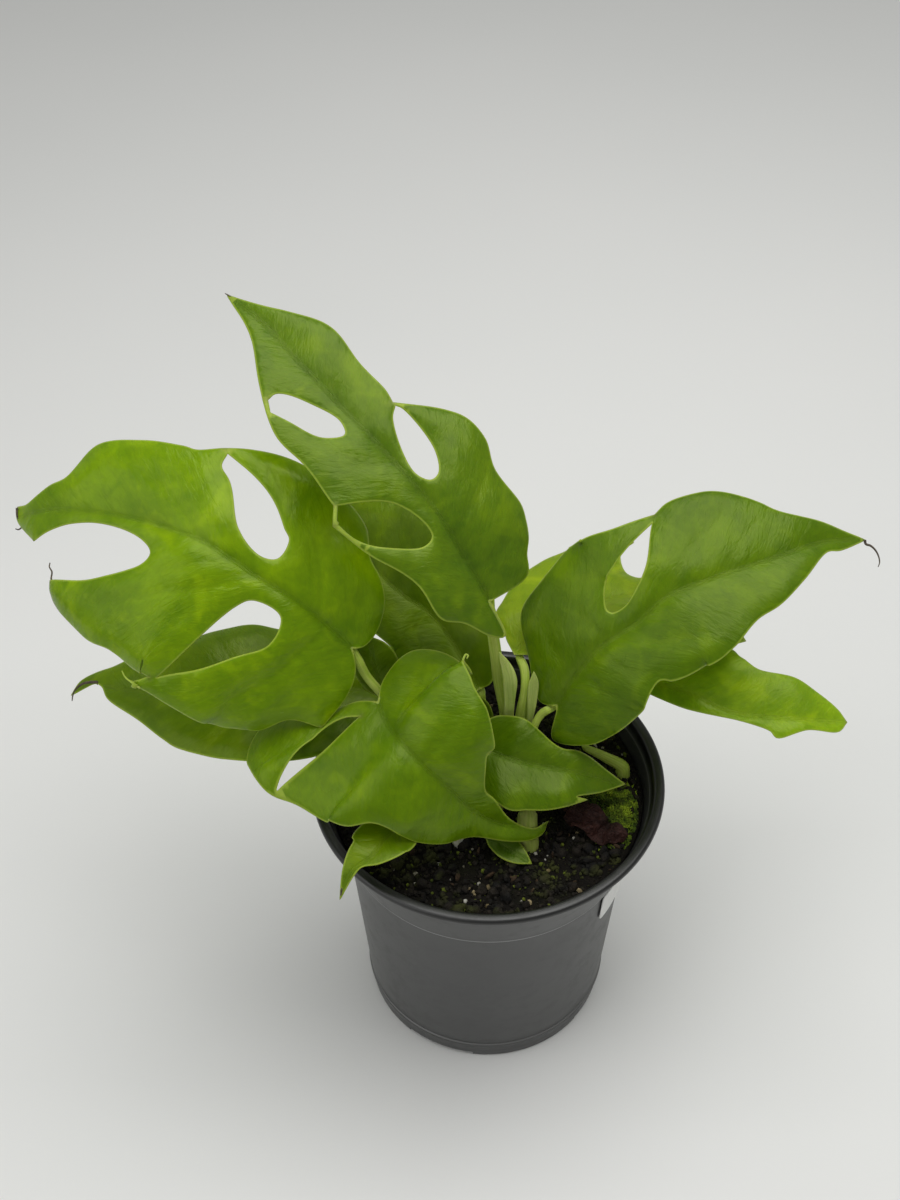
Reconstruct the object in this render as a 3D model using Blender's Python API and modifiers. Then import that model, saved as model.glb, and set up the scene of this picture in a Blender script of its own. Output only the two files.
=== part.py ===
"""Potted mini monstera: a nursery pot of peat with a young split-leaf climber.

Millimetres in the tables, metres in the scene. +Z is up, and the origin is the
middle of the flat underside of the pot. A leaf blade is drawn flat, as a margin
and its openings in (u, v): u runs along the midrib from the petiole, v across
it, plus to the right. It is then laid on a surface that follows the midrib.
"""

import math

import bpy
import bmesh
import numpy as np
from mathutils import Vector
from mathutils.geometry import delaunay_2d_cdt

MM = 0.001

# Pot
RIM_R, RIM_Z = 52.5, 93.7          # 105 mm nursery pot
BASE_R = 37.7
WALL = 1.2
COLLAR_R, COLLAR_Z = 43.9, 72.0    # the stacking ring where the collar starts
BAND_Z = 6.8                       # the ring just over the foot
PLATE_R = 22.0                     # flat middle of the base, on the ground
FOOT_R = 35.0
PLATE_Z = 2.4                      # underside of the drain ring
FLOOR_Z = 3.8                      # inside floor
DRAIN_R, DRAIN_AT, DRAINS = 3.2, 28.5, 8
NOTCH_AT, NOTCH_HALF, NOTCH_H = 246.0, 17.0, 1.6
STEPS = 72

# Growing medium
SOIL_Z = 86.0
GAP = 0.3
BLADE_T = 0.6
MARGIN_STEP = 3.2
THREAD = 1.1                       # the strip of margin that closes a leaf opening

# name: midrib, up side, fold and curl of the left and right halves, margin, openings
LEAVES = {
    "leaf_top": dict(
        mid="0,6,160 -6,10,171 -15,17,184 -25,24,194 -37,33,203 -51,45,212 -61,56,217 -71,66,219",
        up="0.25,-0.55,0.8 0.25,-0.55,0.8 0.2,-0.6,0.78", left="6,-4", right="6,-5",
        margin="0,0 0,13 5,16 9,19 17,22 29,21 36,24 45,23 | 59,11 63,12 72,12 88,13 103,4 | 115,0 97,-6 73,-19 62,-19 | 49,-21 | 45,-25 31,-22 17,-16 5,-15 0,-10 -8,-5 -11,-1",
        holes=["58,11 56,8 49,4 41,2 37,4 37,7 43,11 56,12", "49,-21 39,-8 25,-5 24,-9 32,-19 39,-23 | 46,-24", "81,-14 81,-11 76,-7 65,-3 61,-5 64,-10 73,-14 | 78,-16"]),
    "leaf_left": dict(
        mid="-38,2,146 -43,3,152 -52,5,161 -64,8,169 -78,14,176 -94,21,177 -107,27,175 -122,34,170 -135,41,161",
        up="-0.05,-0.6,0.8 -0.05,-0.62,0.78 -0.1,-0.62,0.78 -0.35,-0.6,0.7", left="4,-7", right="4,-7",
        margin="0,0 -2,3 -1,10 7,19 13,22 19,29 43,33 | 57,26 63,23 67,23 90,19 98,9 103,7 113,3 | 119,3 120,0 | 111,-8 95,-4 84,-3 69,-5 65,-8 67,-12 84,-19 | 103,-20 104,-23 85,-35 71,-37 62,-40 | 43,-40 47,-43 | 63,-44 51,-45 39,-44 12,-41 8,-38 2,-35 -1,-27 | -10,-22 -8,-10 -5,-4",
        holes=["56,25 56,21 53,18 46,8 37,5 32,7 32,13 35,15 43,20", "41,-39 35,-10 32,-6 23,-6 21,-14 29,-23"]),
    "leaf_left_low": dict(
        mid="-29,12,116 -40,13,118 -55,11,119 -69,10,120 -84,11,119 -99,14,116 -112,18,114 -124,23,109",
        up="0,-0.25,0.97 -0.1,-0.25,0.97 -0.3,-0.25,0.9", left="4,-5", right="2,-6",
        margin="0,0 5,8 18,20 32,23 44,24 73,15 87,7 96,3 98,1 | 99,-3 91,1 88,0 84,-4 73,-9 64,-15 59,-18 40,-22 24,-21 3,-12",
        holes=[]),
    "leaf_back": dict(
        mid="-2,12,117 -10,23,126 -17,31,131 -25,36,134 -34,45,137 -43,56,140 -51,68,141",
        up="-0.3,-0.5,0.8", left="8,-3", right="8,-3",
        margin="1,1 1,4 5,8 12,12 28,22 43,23 59,19 75,6 | 81,0 65,-4 47,-11 42,-14 37,-14 24,-16 12,-14 2,-7",
        holes=[]),
    "leaf_front": dict(
        mid="-31,-7,133 -28,-15,132 -24,-21,132 -18,-26,128 -12,-28,122 -5,-28,112 4,-25,102 17,-19,94",
        up="-0.1,-0.75,0.65 0,-0.8,0.6 0.1,-0.75,0.65", left="8,-9", right="8,-3 8,-5 8,-7",
        margin="-1,0 -6,-4 -10,-15 -3,-24 12,-28 18,-25 26,-23 32,-19 34,-17 34,-14 42,-7 49,-6 71,1 | 76,-1 75,2 71,4 52,6 40,17 26,20 21,27 10,32 6,39 -2,41 -5,41 -12,34 -7,19 -5,12 -4,5",
        holes=["1,6 5,16 | 7,37 3,27 -1,17 -1,10"]),
    "leaf_front_right": dict(
        mid="0,-8,114 6,-11,114 14,-12,112 25,-12,109 32,-11,105 40,-10,101",
        up="0,-0.55,0.83", left="8,-5", right="8,-9",
        margin="0,0 -4,-4 -3,-9 7,-12 21,-6 26,-6 | 43,0 35,4 27,7 | 31,7 | 25,10 19,12 14,13 9,14 0,7",
        holes=[]),
    "leaf_front_left": dict(
        mid="-25,-30,108 -29,-34,108 -33,-40,107 -38,-43,105 -42,-47,97",
        up="-0.1,-0.35,0.9", left="8,-4", right="8,-6",
        margin="0,0 2,5 9,8 16,6 20,3 | 29,0 20,-1 16,-1 8,-7 1,-7 -1,-4",
        holes=[]),
    "leaf_right": dict(
        mid="19,0,124 23,1,133 30,2,145 41,4,154 48,7,160 60,10,164 71,14,165 82,18,166 94,24,165 107,29,161",
        up="-0.2,-0.5,0.85 -0.1,-0.5,0.85 0,-0.45,0.87 0.2,-0.45,0.85", left="8,-7", right="8,-8",
        margin="0,0 -2,-4 -1,-7 6,-13 14,-24 23,-26 31,-29 43,-28 48,-24 | 54,-23 58,-25 71,-24 80,-19 91,-10 104,-3 | 112,0 102,3 97,3 77,13 69,15 55,22 42,21 37,19 35,17 25,21 2,17 -9,6 -9,4 -1,1",
        holes=["53,-21 46,-8 33,-6 32,-8 36,-14 44,-16"]),
    "leaf_right_back": dict(
        mid="8,13,133 14,20,136 21,25,137 33,29,138 42,32,137 60,31,131 76,26,123",
        up="0.1,0.25,0.95 0,0.1,1", left="2,3", right="4,-3",
        margin="-1,0 2,-5 4,-7 7,-13 12,-16 23,-24 37,-27 40,-29 43,-29 | 45,-26 42,-21 42,-10 45,-9 52,-17 59,-18 | 79,-1 65,15 33,28 22,22 7,12 1,4",
        holes=[]),
    "leaf_right_low": dict(
        mid="43,22,113 51,19,113 60,15,113 72,9,111 89,7,110 107,9,106",
        up="0,-0.3,0.95 0,-0.45,0.9 0,-0.45,0.9", left="5,-3", right="-5,-20 0,-9 5,-2",
        margin="0,0 1,-5 22,-18 26,-17 33,-16 39,-14 52,-12 64,-4 | 67,0 64,3 54,3 45,6 43,4 33,2 19,5 7,4 2,3",
        holes=[]),
}
LEAVES.update({
    "leaf_small_mid": dict(
        mid="-1,7.8,108 -3,7.8,114 -5,7.8,118 -7,7.8,122", up="-0.2,-0.8,0.55", left="10,-6", right="10,-6",
        margin="0,0 2,-3 7,-4 12,-2 | 15,0 12,3 7,4 2,3", holes=[]),
    "leaf_small_left": dict(
        mid="-31,7,121 -32,8,128 -33,8,136 -33.5,8,145", up="0.1,-0.9,0.2", left="4,-4", right="4,-4",
        margin="0,0 4,-4 12,-6 19,-6 | 24,0 21,4 16,6.5 9,6.5 3,4", holes=[]),
    "leaf_seedling": dict(
        mid="-1,-20,89.5 2,-22,90.5 6,-25,90 12,-28.5,88.2", up="0,-0.3,0.95", left="8,-4", right="8,-4",
        margin="0,0 3,-2.6 8,-3.6 12,-2.4 | 16,0 12,2.6 8,3.6 3,2.6", holes=[]),
    "leaf_litter_inner": dict(
        mid="18,-2,89 22,-5,90.5 27,-8,89", up="0.2,-0.3,0.9", left="10,-14", right="-5,22",
        margin="0,0 2,-3 6,-4 | 9,-2 | 11,0 9,4 | 6,3 2,3", holes=[]),
    "leaf_litter_outer": dict(
        mid="22,-13,90 28,-15,91 34,-18,89.5 41,-20,90", up="0.1,-0.3,0.95", left="12,-10", right="-4,16",
        margin="0,0 3,-4 9,-5 | 13,-3 17,-3 | 20,0 16,3 | 12,4 | 9,3 3,3", holes=[]),
    "sheath_top": dict(
        mid="6.5,0.4,108 5.9,0.5,119 5.6,1,128 5,1.4,135 2.9,2.2,143", up="0,-0.9,0.4", left="0,4", right="0,4",
        margin="0,-1 10,-1.4 18,-1.2 26,-1.2 | 36.5,0 32,1.6 26,2.4 19,1.6 10,1 | 0,0.8", holes=[]),
    "sheath_right": dict(
        mid="11.8,1,116 12.2,2.2,125 12.6,3.4,136", up="0.2,-0.9,0.4", left="0,3", right="0,3",
        margin="0,-0.6 7,-1 14,-1.2 | 19,0 15,1.4 8,1.4 | 0,0.6", holes=[]),
})

# name: the leaf it carries (or None), path from the medium, radius at the root and at the end
STEMS = {
    "petiole_top": ("leaf_top", "6,3 6,3,100 5,3.2,117 2.8,4.2,131 1.2,5,146", 2.1, 1.5),
    "petiole_left": ("leaf_left", "-6,3 -7,3,98 -16,1,114 -27,-0.5,126 -34,1,135", 1.7, 1.2),
    "petiole_left_low": ("leaf_left_low", "-8,9 -8,9,98 -14,9.5,110 -22,9.5,117", 1.5, 1.0),
    "petiole_back": ("leaf_back", "-2,13 -2,13.5,98 -2,13.5,108", 1.6, 1.1),
    "petiole_front": ("leaf_front", "-5,-4 -6,-4,97 -15,-4,113 -25,-4.5,126", 1.6, 1.1),
    "petiole_front_right": ("leaf_front_right", "4,-6 4,-6.5,98 1.5,-8.5,108", 1.4, 1.0),
    "petiole_front_left": ("leaf_front_left", "-12,-14 -13,-15,95 -18,-22,102", 1.3, 0.8),
    "petiole_right": ("leaf_right", "13,-3 13,-3,104 12.8,-1.6,116 15,0.4,120.2", 1.4, 1.0),
    "petiole_right_back": ("leaf_right_back", "9.6,0 9.6,0.5,100 9,2,117 10.3,4.4,127 10.2,8.4,130.5", 1.8, 1.1),
    "petiole_right_low": ("leaf_right_low", "11,8 11,8,100 11,8.5,114 15,9,121 28,16,121.5 37,19.5,115", 1.5, 1.0),
    "stem_front": (None, "11,-20 11,-19.6,90 11,-17.8,95 11.2,-15.8,99", 3.3, 2.7),
    "stem_right": (None, "41,6.4 40.8,6.8,89 35,8.6,92 28.5,10,95", 2.1, 1.0),
    "petiole_small_left": ("leaf_small_left", "-13,5.5 -13,5.5,96 -21,5,108 -27.5,5.8,116", 1.1, 0.8),
    "stalk_young": (None, "4,9 4,9,100 6,9.6,118 6.9,9.8,127", 1.3, 0.8),
    "stub_front": (None, "-9,-19 -9,-19,88.5 -9,-19,91", 1.7, 1.4),
}

COLOURS = {
    "pot": (0.045, 0.048, 0.048, 1), "soil": (0.03, 0.022, 0.015, 1), "moss": (0.10, 0.20, 0.02, 1),
    "label": (0.85, 0.85, 0.83, 1), "leaf": (0.13, 0.27, 0.02, 1), "stem": (0.33, 0.48, 0.13, 1),
    "sheath": (0.5, 0.6, 0.28, 1), "litter": (0.10, 0.045, 0.035, 1), "stub": (0.75, 0.74, 0.62, 1),
}


def table(text):
    return np.array([[float(n) for n in item.split(",")] for item in text.split()])


def curve(points, count):
    """Points along a smooth curve through the given ones (centripetal Catmull-Rom)."""
    p = np.vstack([2 * points[0] - points[1], points, 2 * points[-1] - points[-2]])
    t = np.concatenate([[0], np.cumsum(np.linalg.norm(np.diff(p, axis=0), axis=1) ** 0.5)])
    out = []
    for i in range(1, len(p) - 2):
        t0, t1, t2, t3 = t[i - 1:i + 3]
        s = np.linspace(t1, t2, count, endpoint=False)[:, None]
        a1 = (t1 - s) / (t1 - t0) * p[i - 1] + (s - t0) / (t1 - t0) * p[i]
        a2 = (t2 - s) / (t2 - t1) * p[i] + (s - t1) / (t2 - t1) * p[i + 1]
        a3 = (t3 - s) / (t3 - t2) * p[i + 1] + (s - t2) / (t3 - t2) * p[i + 2]
        b1 = (t2 - s) / (t2 - t0) * a1 + (s - t0) / (t2 - t0) * a2
        b2 = (t3 - s) / (t3 - t1) * a2 + (s - t1) / (t3 - t1) * a3
        out.append((t2 - s) / (t2 - t1) * b1 + (s - t1) / (t2 - t1) * b2)
    return np.vstack(out + [p[-2:-1]])


def blend(f, values):
    """Values at even stations, blended smoothly at the fractions f."""
    if len(values) == 1:
        return np.repeat(values, len(f), axis=0)
    x = np.clip(f, 0, 1) * (len(values) - 1)
    i = np.clip(x.astype(int), 0, len(values) - 2)
    r = (x - i) ** 2 * (3 - 2 * (x - i))
    return values[i] * (1 - r)[:, None] + values[i + 1] * r[:, None]


class Blade:
    """The surface a leaf lies on: fold in degrees at the midrib, curl in degrees per 10 mm."""

    def __init__(self, leaf):
        self.line = curve(table(leaf["mid"]), 24)
        self.arc = np.concatenate([[0], np.cumsum(np.linalg.norm(np.diff(self.line, axis=0), axis=1))])
        self.length = self.arc[-1]
        tangent = np.gradient(self.line, self.arc, axis=0)
        self.tangent = tangent / np.linalg.norm(tangent, axis=1)[:, None]
        self.up, self.left, self.right = (table(leaf[k]) for k in ("up", "left", "right"))

    def at(self, u, v, lift=0.0):
        u, v = np.atleast_1d(u).astype(float), np.atleast_1d(v).astype(float)
        c = np.clip(u, 0, self.length)
        m, t = (np.stack([np.interp(c, self.arc, a[:, k]) for k in range(3)], 1) for a in (self.line, self.tangent))
        m = m + t * (u - c)[:, None]
        n = blend(c / self.length, self.up)
        n = n - t * (n * t).sum(1)[:, None]
        n /= np.linalg.norm(n, axis=1)[:, None]
        a = np.where((v < 0)[:, None], blend(c / self.length, self.left), blend(c / self.length, self.right))
        fold, k = np.radians(a[:, 0]), np.radians(a[:, 1]) / 10
        k = np.where(abs(k) < 1e-6, 1e-6, k)
        x = abs(v)
        out = (np.sin(fold + k * x) - np.sin(fold)) / k
        rise = (np.cos(fold) - np.cos(fold + k * x)) / k
        return m + np.cross(t, n) * (np.sign(v) * out)[:, None] + n * (rise + lift)[:, None]


def outline(text, step):
    """The closed margin in (u, v): smooth runs that meet in corners at each |."""
    runs = [table(run) for run in text.split("|")]
    out = []
    for i, run in enumerate(runs):
        run = np.vstack([run, runs[(i + 1) % len(runs)][:1]])
        dense = curve(run, 16) if len(run) > 2 else run
        arc = np.concatenate([[0], np.cumsum(np.linalg.norm(np.diff(dense, axis=0), axis=1))])
        count = max(1, int(round(arc[-1] / step)))
        s = np.linspace(0, arc[-1], count + 1)[:-1]
        out.append(np.stack([np.interp(s, arc, dense[:, k]) for k in range(2)], 1))
    return np.vstack(out)


def nearest(points, ring):
    """Nearest point of a closed ring to each point, and its distance."""
    a, b = ring, np.roll(ring, -1, axis=0)
    ab = b - a
    t = np.clip(((points[:, None] - a) * ab).sum(2) / np.maximum((ab * ab).sum(1), 1e-12), 0, 1)
    q = a + t[..., None] * ab
    d = np.linalg.norm(points[:, None] - q, axis=2)
    i = d.argmin(1)
    return q[np.arange(len(points)), i], d[np.arange(len(points)), i]


def inside(points, ring):
    a, b = ring, np.roll(ring, -1, axis=0)
    x, y = points[:, :1], points[:, 1:]
    cross = (a[:, 1] > y) != (b[:, 1] > y)
    dy = np.where(b[:, 1] == a[:, 1], 1e-12, b[:, 1] - a[:, 1])
    return (cross & (x < (b[:, 0] - a[:, 0]) * (y - a[:, 1]) / dy + a[:, 0])).sum(1) % 2 == 1


def keep_off(hole, ring, gap):
    """Moves the points of an opening in from the margin, so a thread of blade closes it."""
    middle = hole.mean(0)
    for _ in range(40):
        q, d = nearest(hole, ring)
        near = (d < gap) | ~inside(hole, ring)
        if not near.any():
            break
        hole = np.where(near[:, None], hole + (middle - hole) * 0.06, hole)
    return hole


def blade_mesh(leaf, step, grid):
    blade = Blade(leaf)
    ring = outline(leaf["margin"], step)
    holes = [keep_off(outline(text, step * 0.8), ring, THREAD) for text in leaf["holes"]]
    loops = [ring] + holes
    low, high = ring.min(0), ring.max(0)
    rows = [np.array([u, v]) for i, v in enumerate(np.arange(low[1], high[1], grid * 0.866))
            for u in np.arange(low[0] + (i % 2) * grid / 2, high[0], grid)]
    inner = np.array(rows + [np.array([u, 0.0]) for u in np.arange(grid / 2, blade.length - 2, grid)])
    keep = inside(inner, ring) & (nearest(inner, ring)[1] > grid * 0.45)
    for hole in holes:
        keep &= ~inside(inner, hole) & (nearest(inner, hole)[1] > grid * 0.45)
    inner = inner[keep]
    points = np.vstack(loops + [inner])
    edges, start = [], 0
    for loop in loops:
        n = len(loop)
        edges += [(start + i, start + (i + 1) % n) for i in range(n)]
        start += n
    verts, _, faces, _, _, _ = delaunay_2d_cdt([Vector(p) for p in points], edges, [], 0, 1e-4)
    flat = np.array([[v.x, v.y] for v in verts])
    middle = np.array([flat[list(f)].mean(0) for f in faces])
    keep = inside(middle, ring)
    for hole in holes:
        keep &= ~inside(middle, hole)
    return blade.at(flat[:, 0], flat[:, 1]), [f for f, k in zip(faces, keep) if k]


def fresh():
    for block in list(bpy.data.objects):
        bpy.data.objects.remove(block, do_unlink=True)
    for block in list(bpy.data.collections):
        bpy.data.collections.remove(block)
    plant = bpy.data.collections.new("potted_mini_monstera")
    cutters = bpy.data.collections.new("cutters")
    for c in (plant, cutters):
        bpy.context.scene.collection.children.link(c)
    cutters.hide_render = True
    return plant, cutters


def material(name, colour):
    m = bpy.data.materials.get(name) or bpy.data.materials.new(name)
    m.use_nodes = True
    shader = m.node_tree.nodes["Principled BSDF"]
    shader.inputs["Base Color"].default_value = COLOURS[colour]
    shader.inputs["Roughness"].default_value = 0.45 if colour in ("leaf", "stem", "pot") else 0.9
    m.diffuse_color = COLOURS[colour]
    return m


def add(name, mesh, where, colour=None):
    obj = bpy.data.objects.new(name, mesh)
    where.objects.link(obj)
    if colour:
        mesh.materials.append(material(name, colour))
    else:
        obj.hide_render = True
        obj.display_type = "WIRE"
    return obj


def mesh_of(name, points, faces):
    mesh = bpy.data.meshes.new(name)
    mesh.from_pydata([tuple(np.asarray(p, float) * MM) for p in points], [], [tuple(f) for f in faces])
    mesh.update()
    return mesh


def tidy(mesh):
    work = bmesh.new()
    work.from_mesh(mesh)
    bmesh.ops.remove_doubles(work, verts=work.verts, dist=1e-6)
    bmesh.ops.recalc_face_normals(work, faces=work.faces)
    work.to_mesh(mesh)
    work.free()


def lathe(name, profile, where, colour):
    """A solid of revolution about Z from (radius, height) points that start and end on the axis."""
    mesh = bpy.data.meshes.new(name)
    mesh.from_pydata([(r * MM, 0, z * MM) for r, z in profile], [(i, i + 1) for i in range(len(profile) - 1)], [])
    obj = add(name, mesh, where, colour)
    screw = obj.modifiers.new("Screw", "SCREW")
    screw.steps = screw.render_steps = STEPS
    screw.use_merge_vertices = True
    screw.merge_threshold = 1e-5
    screw.use_normal_calculate = True
    return obj


def evaluated(obj, name, where):
    """The object's evaluated mesh as a plain cutter object."""
    graph = bpy.context.evaluated_depsgraph_get()
    mesh = bpy.data.meshes.new_from_object(obj.evaluated_get(graph))
    mesh.transform(obj.matrix_world)
    mesh.name = name
    tidy(mesh)
    return add(name, mesh, where)


def cut(obj, cutter):
    m = obj.modifiers.new("Cut " + cutter.name, "BOOLEAN")
    m.operation, m.solver, m.object = "DIFFERENCE", "EXACT", cutter


def cylinder(name, x, y, r, low, high, where, sides=24):
    ring = [(x + r * math.cos(2 * math.pi * i / sides), y + r * math.sin(2 * math.pi * i / sides)) for i in range(sides)]
    points = [(a, b, low) for a, b in ring] + [(a, b, high) for a, b in ring]
    faces = [tuple(range(sides))[::-1], tuple(range(sides, 2 * sides))]
    faces += [(i, (i + 1) % sides, sides + (i + 1) % sides, sides + i) for i in range(sides)]
    mesh = mesh_of(name, points, faces)
    tidy(mesh)
    return add(name, mesh, where)


def tube(name, path, radii, where, colour):
    data = bpy.data.curves.new(name, "CURVE")
    data.dimensions = "3D"
    data.bevel_depth = MM
    data.bevel_resolution = 2
    data.use_fill_caps = True
    data.resolution_u = 1
    data.render_resolution_u = 0
    spline = data.splines.new("POLY")
    spline.points.add(len(path) - 1)
    for point, at, r in zip(spline.points, path, radii):
        point.co = (*(at * MM), 1)
        point.radius = r
    return add(name, data, where, colour)


def build_pot(plant, cutters):
    wall = lambda z: BASE_R + (COLLAR_R - 0.7 - BASE_R) * z / COLLAR_Z
    inner = lambda z: wall(z) - WALL
    profile = [(0, 0), (PLATE_R, 0), (PLATE_R + 1.4, PLATE_Z), (FOOT_R - 0.8, PLATE_Z), (FOOT_R, 0), (BASE_R - 0.6, 0),
               (BASE_R, 0.7), (wall(BAND_Z - 0.6), BAND_Z - 0.6), (wall(BAND_Z) + 0.4, BAND_Z), (wall(BAND_Z + 0.8), BAND_Z + 0.8),
               (wall(COLLAR_Z - 1), COLLAR_Z - 1), (COLLAR_R, COLLAR_Z - 0.4), (COLLAR_R + 0.2, COLLAR_Z + 0.6),
               (47.0, 82.0), (50.0, 91.3), (51.6, 91.3), (52.3, 91.7), (RIM_R, 92.5), (52.3, 93.3), (51.7, RIM_Z),
               (49.9, RIM_Z), (49.3, 93.3), (48.9, 92.0), (45.8, 82.0), (inner(COLLAR_Z) + 0.6, COLLAR_Z + 0.4),
               (inner(COLLAR_Z - 1), COLLAR_Z - 1.4), (inner(FLOOR_Z), FLOOR_Z), (0, FLOOR_Z)]
    pot = lathe("pot", profile, plant, "pot")
    for i in range(DRAINS):
        a = 2 * math.pi * (i + 0.5) / DRAINS
        cut(pot, cylinder(f"drain_{i + 1}", DRAIN_AT * math.cos(a), DRAIN_AT * math.sin(a), DRAIN_R, -1, 6, cutters))
    for i in range(4):
        a = math.radians(NOTCH_AT + 90 * i)
        half = BASE_R * math.sin(math.radians(NOTCH_HALF))
        c, s = math.cos(a), math.sin(a)
        box = [(x * c - y * s, x * s + y * c, z) for z in (-1, NOTCH_H) for x, y in
               ((FOOT_R - 2, -half), (BASE_R + 4, -half), (BASE_R + 4, half), (FOOT_R - 2, half))]
        mesh = mesh_of(f"notch_{i + 1}", box, [(3, 2, 1, 0), (4, 5, 6, 7), (0, 1, 5, 4), (1, 2, 6, 5), (2, 3, 7, 6), (3, 0, 4, 7)])
        tidy(mesh)
        cut(pot, add(f"notch_{i + 1}", mesh, cutters))
    return inner


def build_soil(plant, cutters, inner):
    edge = 45.8 + (SOIL_Z - 82.0) * 0.31 - GAP
    profile = [(0, FLOOR_Z + GAP), (inner(FLOOR_Z) - GAP - 0.3, FLOOR_Z + GAP), (inner(COLLAR_Z - 1) - GAP - 0.2, COLLAR_Z - 1),
               (45.3, 82.0), (edge, SOIL_Z - 0.6), (edge - 1.2, SOIL_Z), (0, SOIL_Z)]
    soil = lathe("soil", profile, plant, "soil")
    for name, (_, path, r, _) in STEMS.items():
        x, y = (float(n) for n in path.split()[0].split(","))
        cut(soil, cylinder("socket_" + name, x, y, r + GAP + 0.1, SOIL_Z - 9, SOIL_Z + 3, cutters, 20))


def build_moss(plant):
    """A low cushion by the rim, with a lumpy top."""
    ring = outline("29,3 35,3.6 39,1.6 44,-1 44.4,-8 42,-16 37,-19 33,-13 31,-7 28,-2", 2.6)
    low = SOIL_Z + GAP
    middle = np.array([37.5, -6.0])
    points, faces, n = [], [], len(ring)
    for f, h in ((1.0, 0.0), (0.97, 0.9), (0.8, 1.7), (0.55, 2.3), (0.3, 2.6)):
        for i, p in enumerate(ring):
            lump = 0.35 * math.sin(5.1 * i / n * 6.28 + 3 * f) if h else 0
            points.append((*(middle + (p - middle) * f), low + max(h + lump, 0.3 if h else 0)))
    points.append((*middle, low + 2.7))
    points.append((*middle, low))
    for k in range(4):
        faces += [(k * n + i, k * n + (i + 1) % n, (k + 1) * n + (i + 1) % n, (k + 1) * n + i) for i in range(n)]
    faces += [(4 * n + i, 4 * n + (i + 1) % n, len(points) - 2) for i in range(n)]
    faces += [((i + 1) % n, i, len(points) - 1) for i in range(n)]
    mesh = mesh_of("moss_patch", points, faces)
    tidy(mesh)
    add("moss_patch", mesh, plant, "moss")


def build_label(plant):
    """A blank paper label, bent round the wall under the collar."""
    low, high, first, last, n = 57.8, 70.2, -39.0, 6.0, 14
    wall = lambda z: BASE_R + (COLLAR_R - 0.7 - BASE_R) * z / COLLAR_Z
    points = []
    for i in range(n + 1):
        a = math.radians(first + (last - first) * i / n)
        for z, off in ((low, 0.34), (high, 0.34), (high, 0.64), (low, 0.64)):
            r = wall(z) + off
            points.append((r * math.cos(a), r * math.sin(a), z))
    faces = [(4 * i + k, 4 * i + (k + 1) % 4, 4 * i + 4 + (k + 1) % 4, 4 * i + 4 + k) for i in range(n) for k in range(4)]
    faces += [(3, 2, 1, 0), (4 * n, 4 * n + 1, 4 * n + 2, 4 * n + 3)]
    mesh = mesh_of("label_blank", points, faces)
    tidy(mesh)
    add("label_blank", mesh, plant, "label")


def build_leaf(name, leaf, plant):
    small = len(leaf["mid"].split()) < 6
    points, faces = blade_mesh(leaf, 1.6 if small else MARGIN_STEP, 3.5 if small else 7.5)
    mesh = mesh_of(name, points, faces)
    work = bmesh.new()
    work.from_mesh(mesh)
    bmesh.ops.recalc_face_normals(work, faces=work.faces)
    work.to_mesh(mesh)
    work.free()
    colour = "litter" if "litter" in name else "sheath" if "sheath" in name else "leaf"
    obj = add(name, mesh, plant, colour)
    thick = obj.modifiers.new("Thickness", "SOLIDIFY")
    thick.thickness = BLADE_T * MM
    thick.offset = 0
    thick.use_even_offset = False


def build_stem(name, leaf, path, r, end_r, plant):
    points = [[float(n) for n in item.split(",")] for item in path.split()]
    x, y = points[0]
    points = [[x, y, SOIL_Z - 8.4], [x, y, SOIL_Z + 1]] + points[1:]
    if leaf:
        # The petiole meets the blade from below, a gap short of it.
        points.append(Blade(LEAVES[leaf]).at(1.0, 0.0, -(end_r + GAP + BLADE_T / 2 + 0.6))[0].tolist())
    line = curve(np.array(points), 3)
    arc = np.concatenate([[0], np.cumsum(np.linalg.norm(np.diff(line, axis=0), axis=1))]) / 1.0
    start = np.interp(1.0, np.arange(len(arc)), arc)
    f = np.clip((arc - start) / (arc[-1] - start), 0, 1)
    tube(name, line, r + (end_r - r) * f, plant, "stub" if "stub" in name else "stem")


def main():
    plant, cutters = fresh()
    inner = build_pot(plant, cutters)
    build_soil(plant, cutters, inner)
    build_moss(plant)
    build_label(plant)
    for name, leaf in LEAVES.items():
        build_leaf(name, leaf, plant)
    for name, stem in STEMS.items():
        build_stem(name, *stem, plant)


main()
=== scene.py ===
import math
import random

import bmesh
import bpy
import numpy as np
from mathutils import Euler, Matrix, Vector, noise
from mathutils.geometry import delaunay_2d_cdt


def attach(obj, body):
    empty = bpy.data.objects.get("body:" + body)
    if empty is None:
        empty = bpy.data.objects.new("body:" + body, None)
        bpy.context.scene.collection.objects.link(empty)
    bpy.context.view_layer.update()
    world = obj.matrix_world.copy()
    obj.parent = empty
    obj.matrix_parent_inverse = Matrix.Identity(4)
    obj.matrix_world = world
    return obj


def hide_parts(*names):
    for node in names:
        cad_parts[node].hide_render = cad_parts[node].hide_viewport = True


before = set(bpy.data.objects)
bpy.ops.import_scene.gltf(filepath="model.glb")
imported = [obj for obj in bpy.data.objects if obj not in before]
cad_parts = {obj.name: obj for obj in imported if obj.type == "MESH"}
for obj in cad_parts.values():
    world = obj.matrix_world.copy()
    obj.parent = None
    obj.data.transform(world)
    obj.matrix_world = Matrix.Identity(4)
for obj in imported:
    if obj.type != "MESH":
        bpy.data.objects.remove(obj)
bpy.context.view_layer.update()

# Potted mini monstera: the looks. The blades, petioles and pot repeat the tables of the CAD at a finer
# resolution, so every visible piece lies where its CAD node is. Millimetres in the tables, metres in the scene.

MM = 0.001

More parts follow.
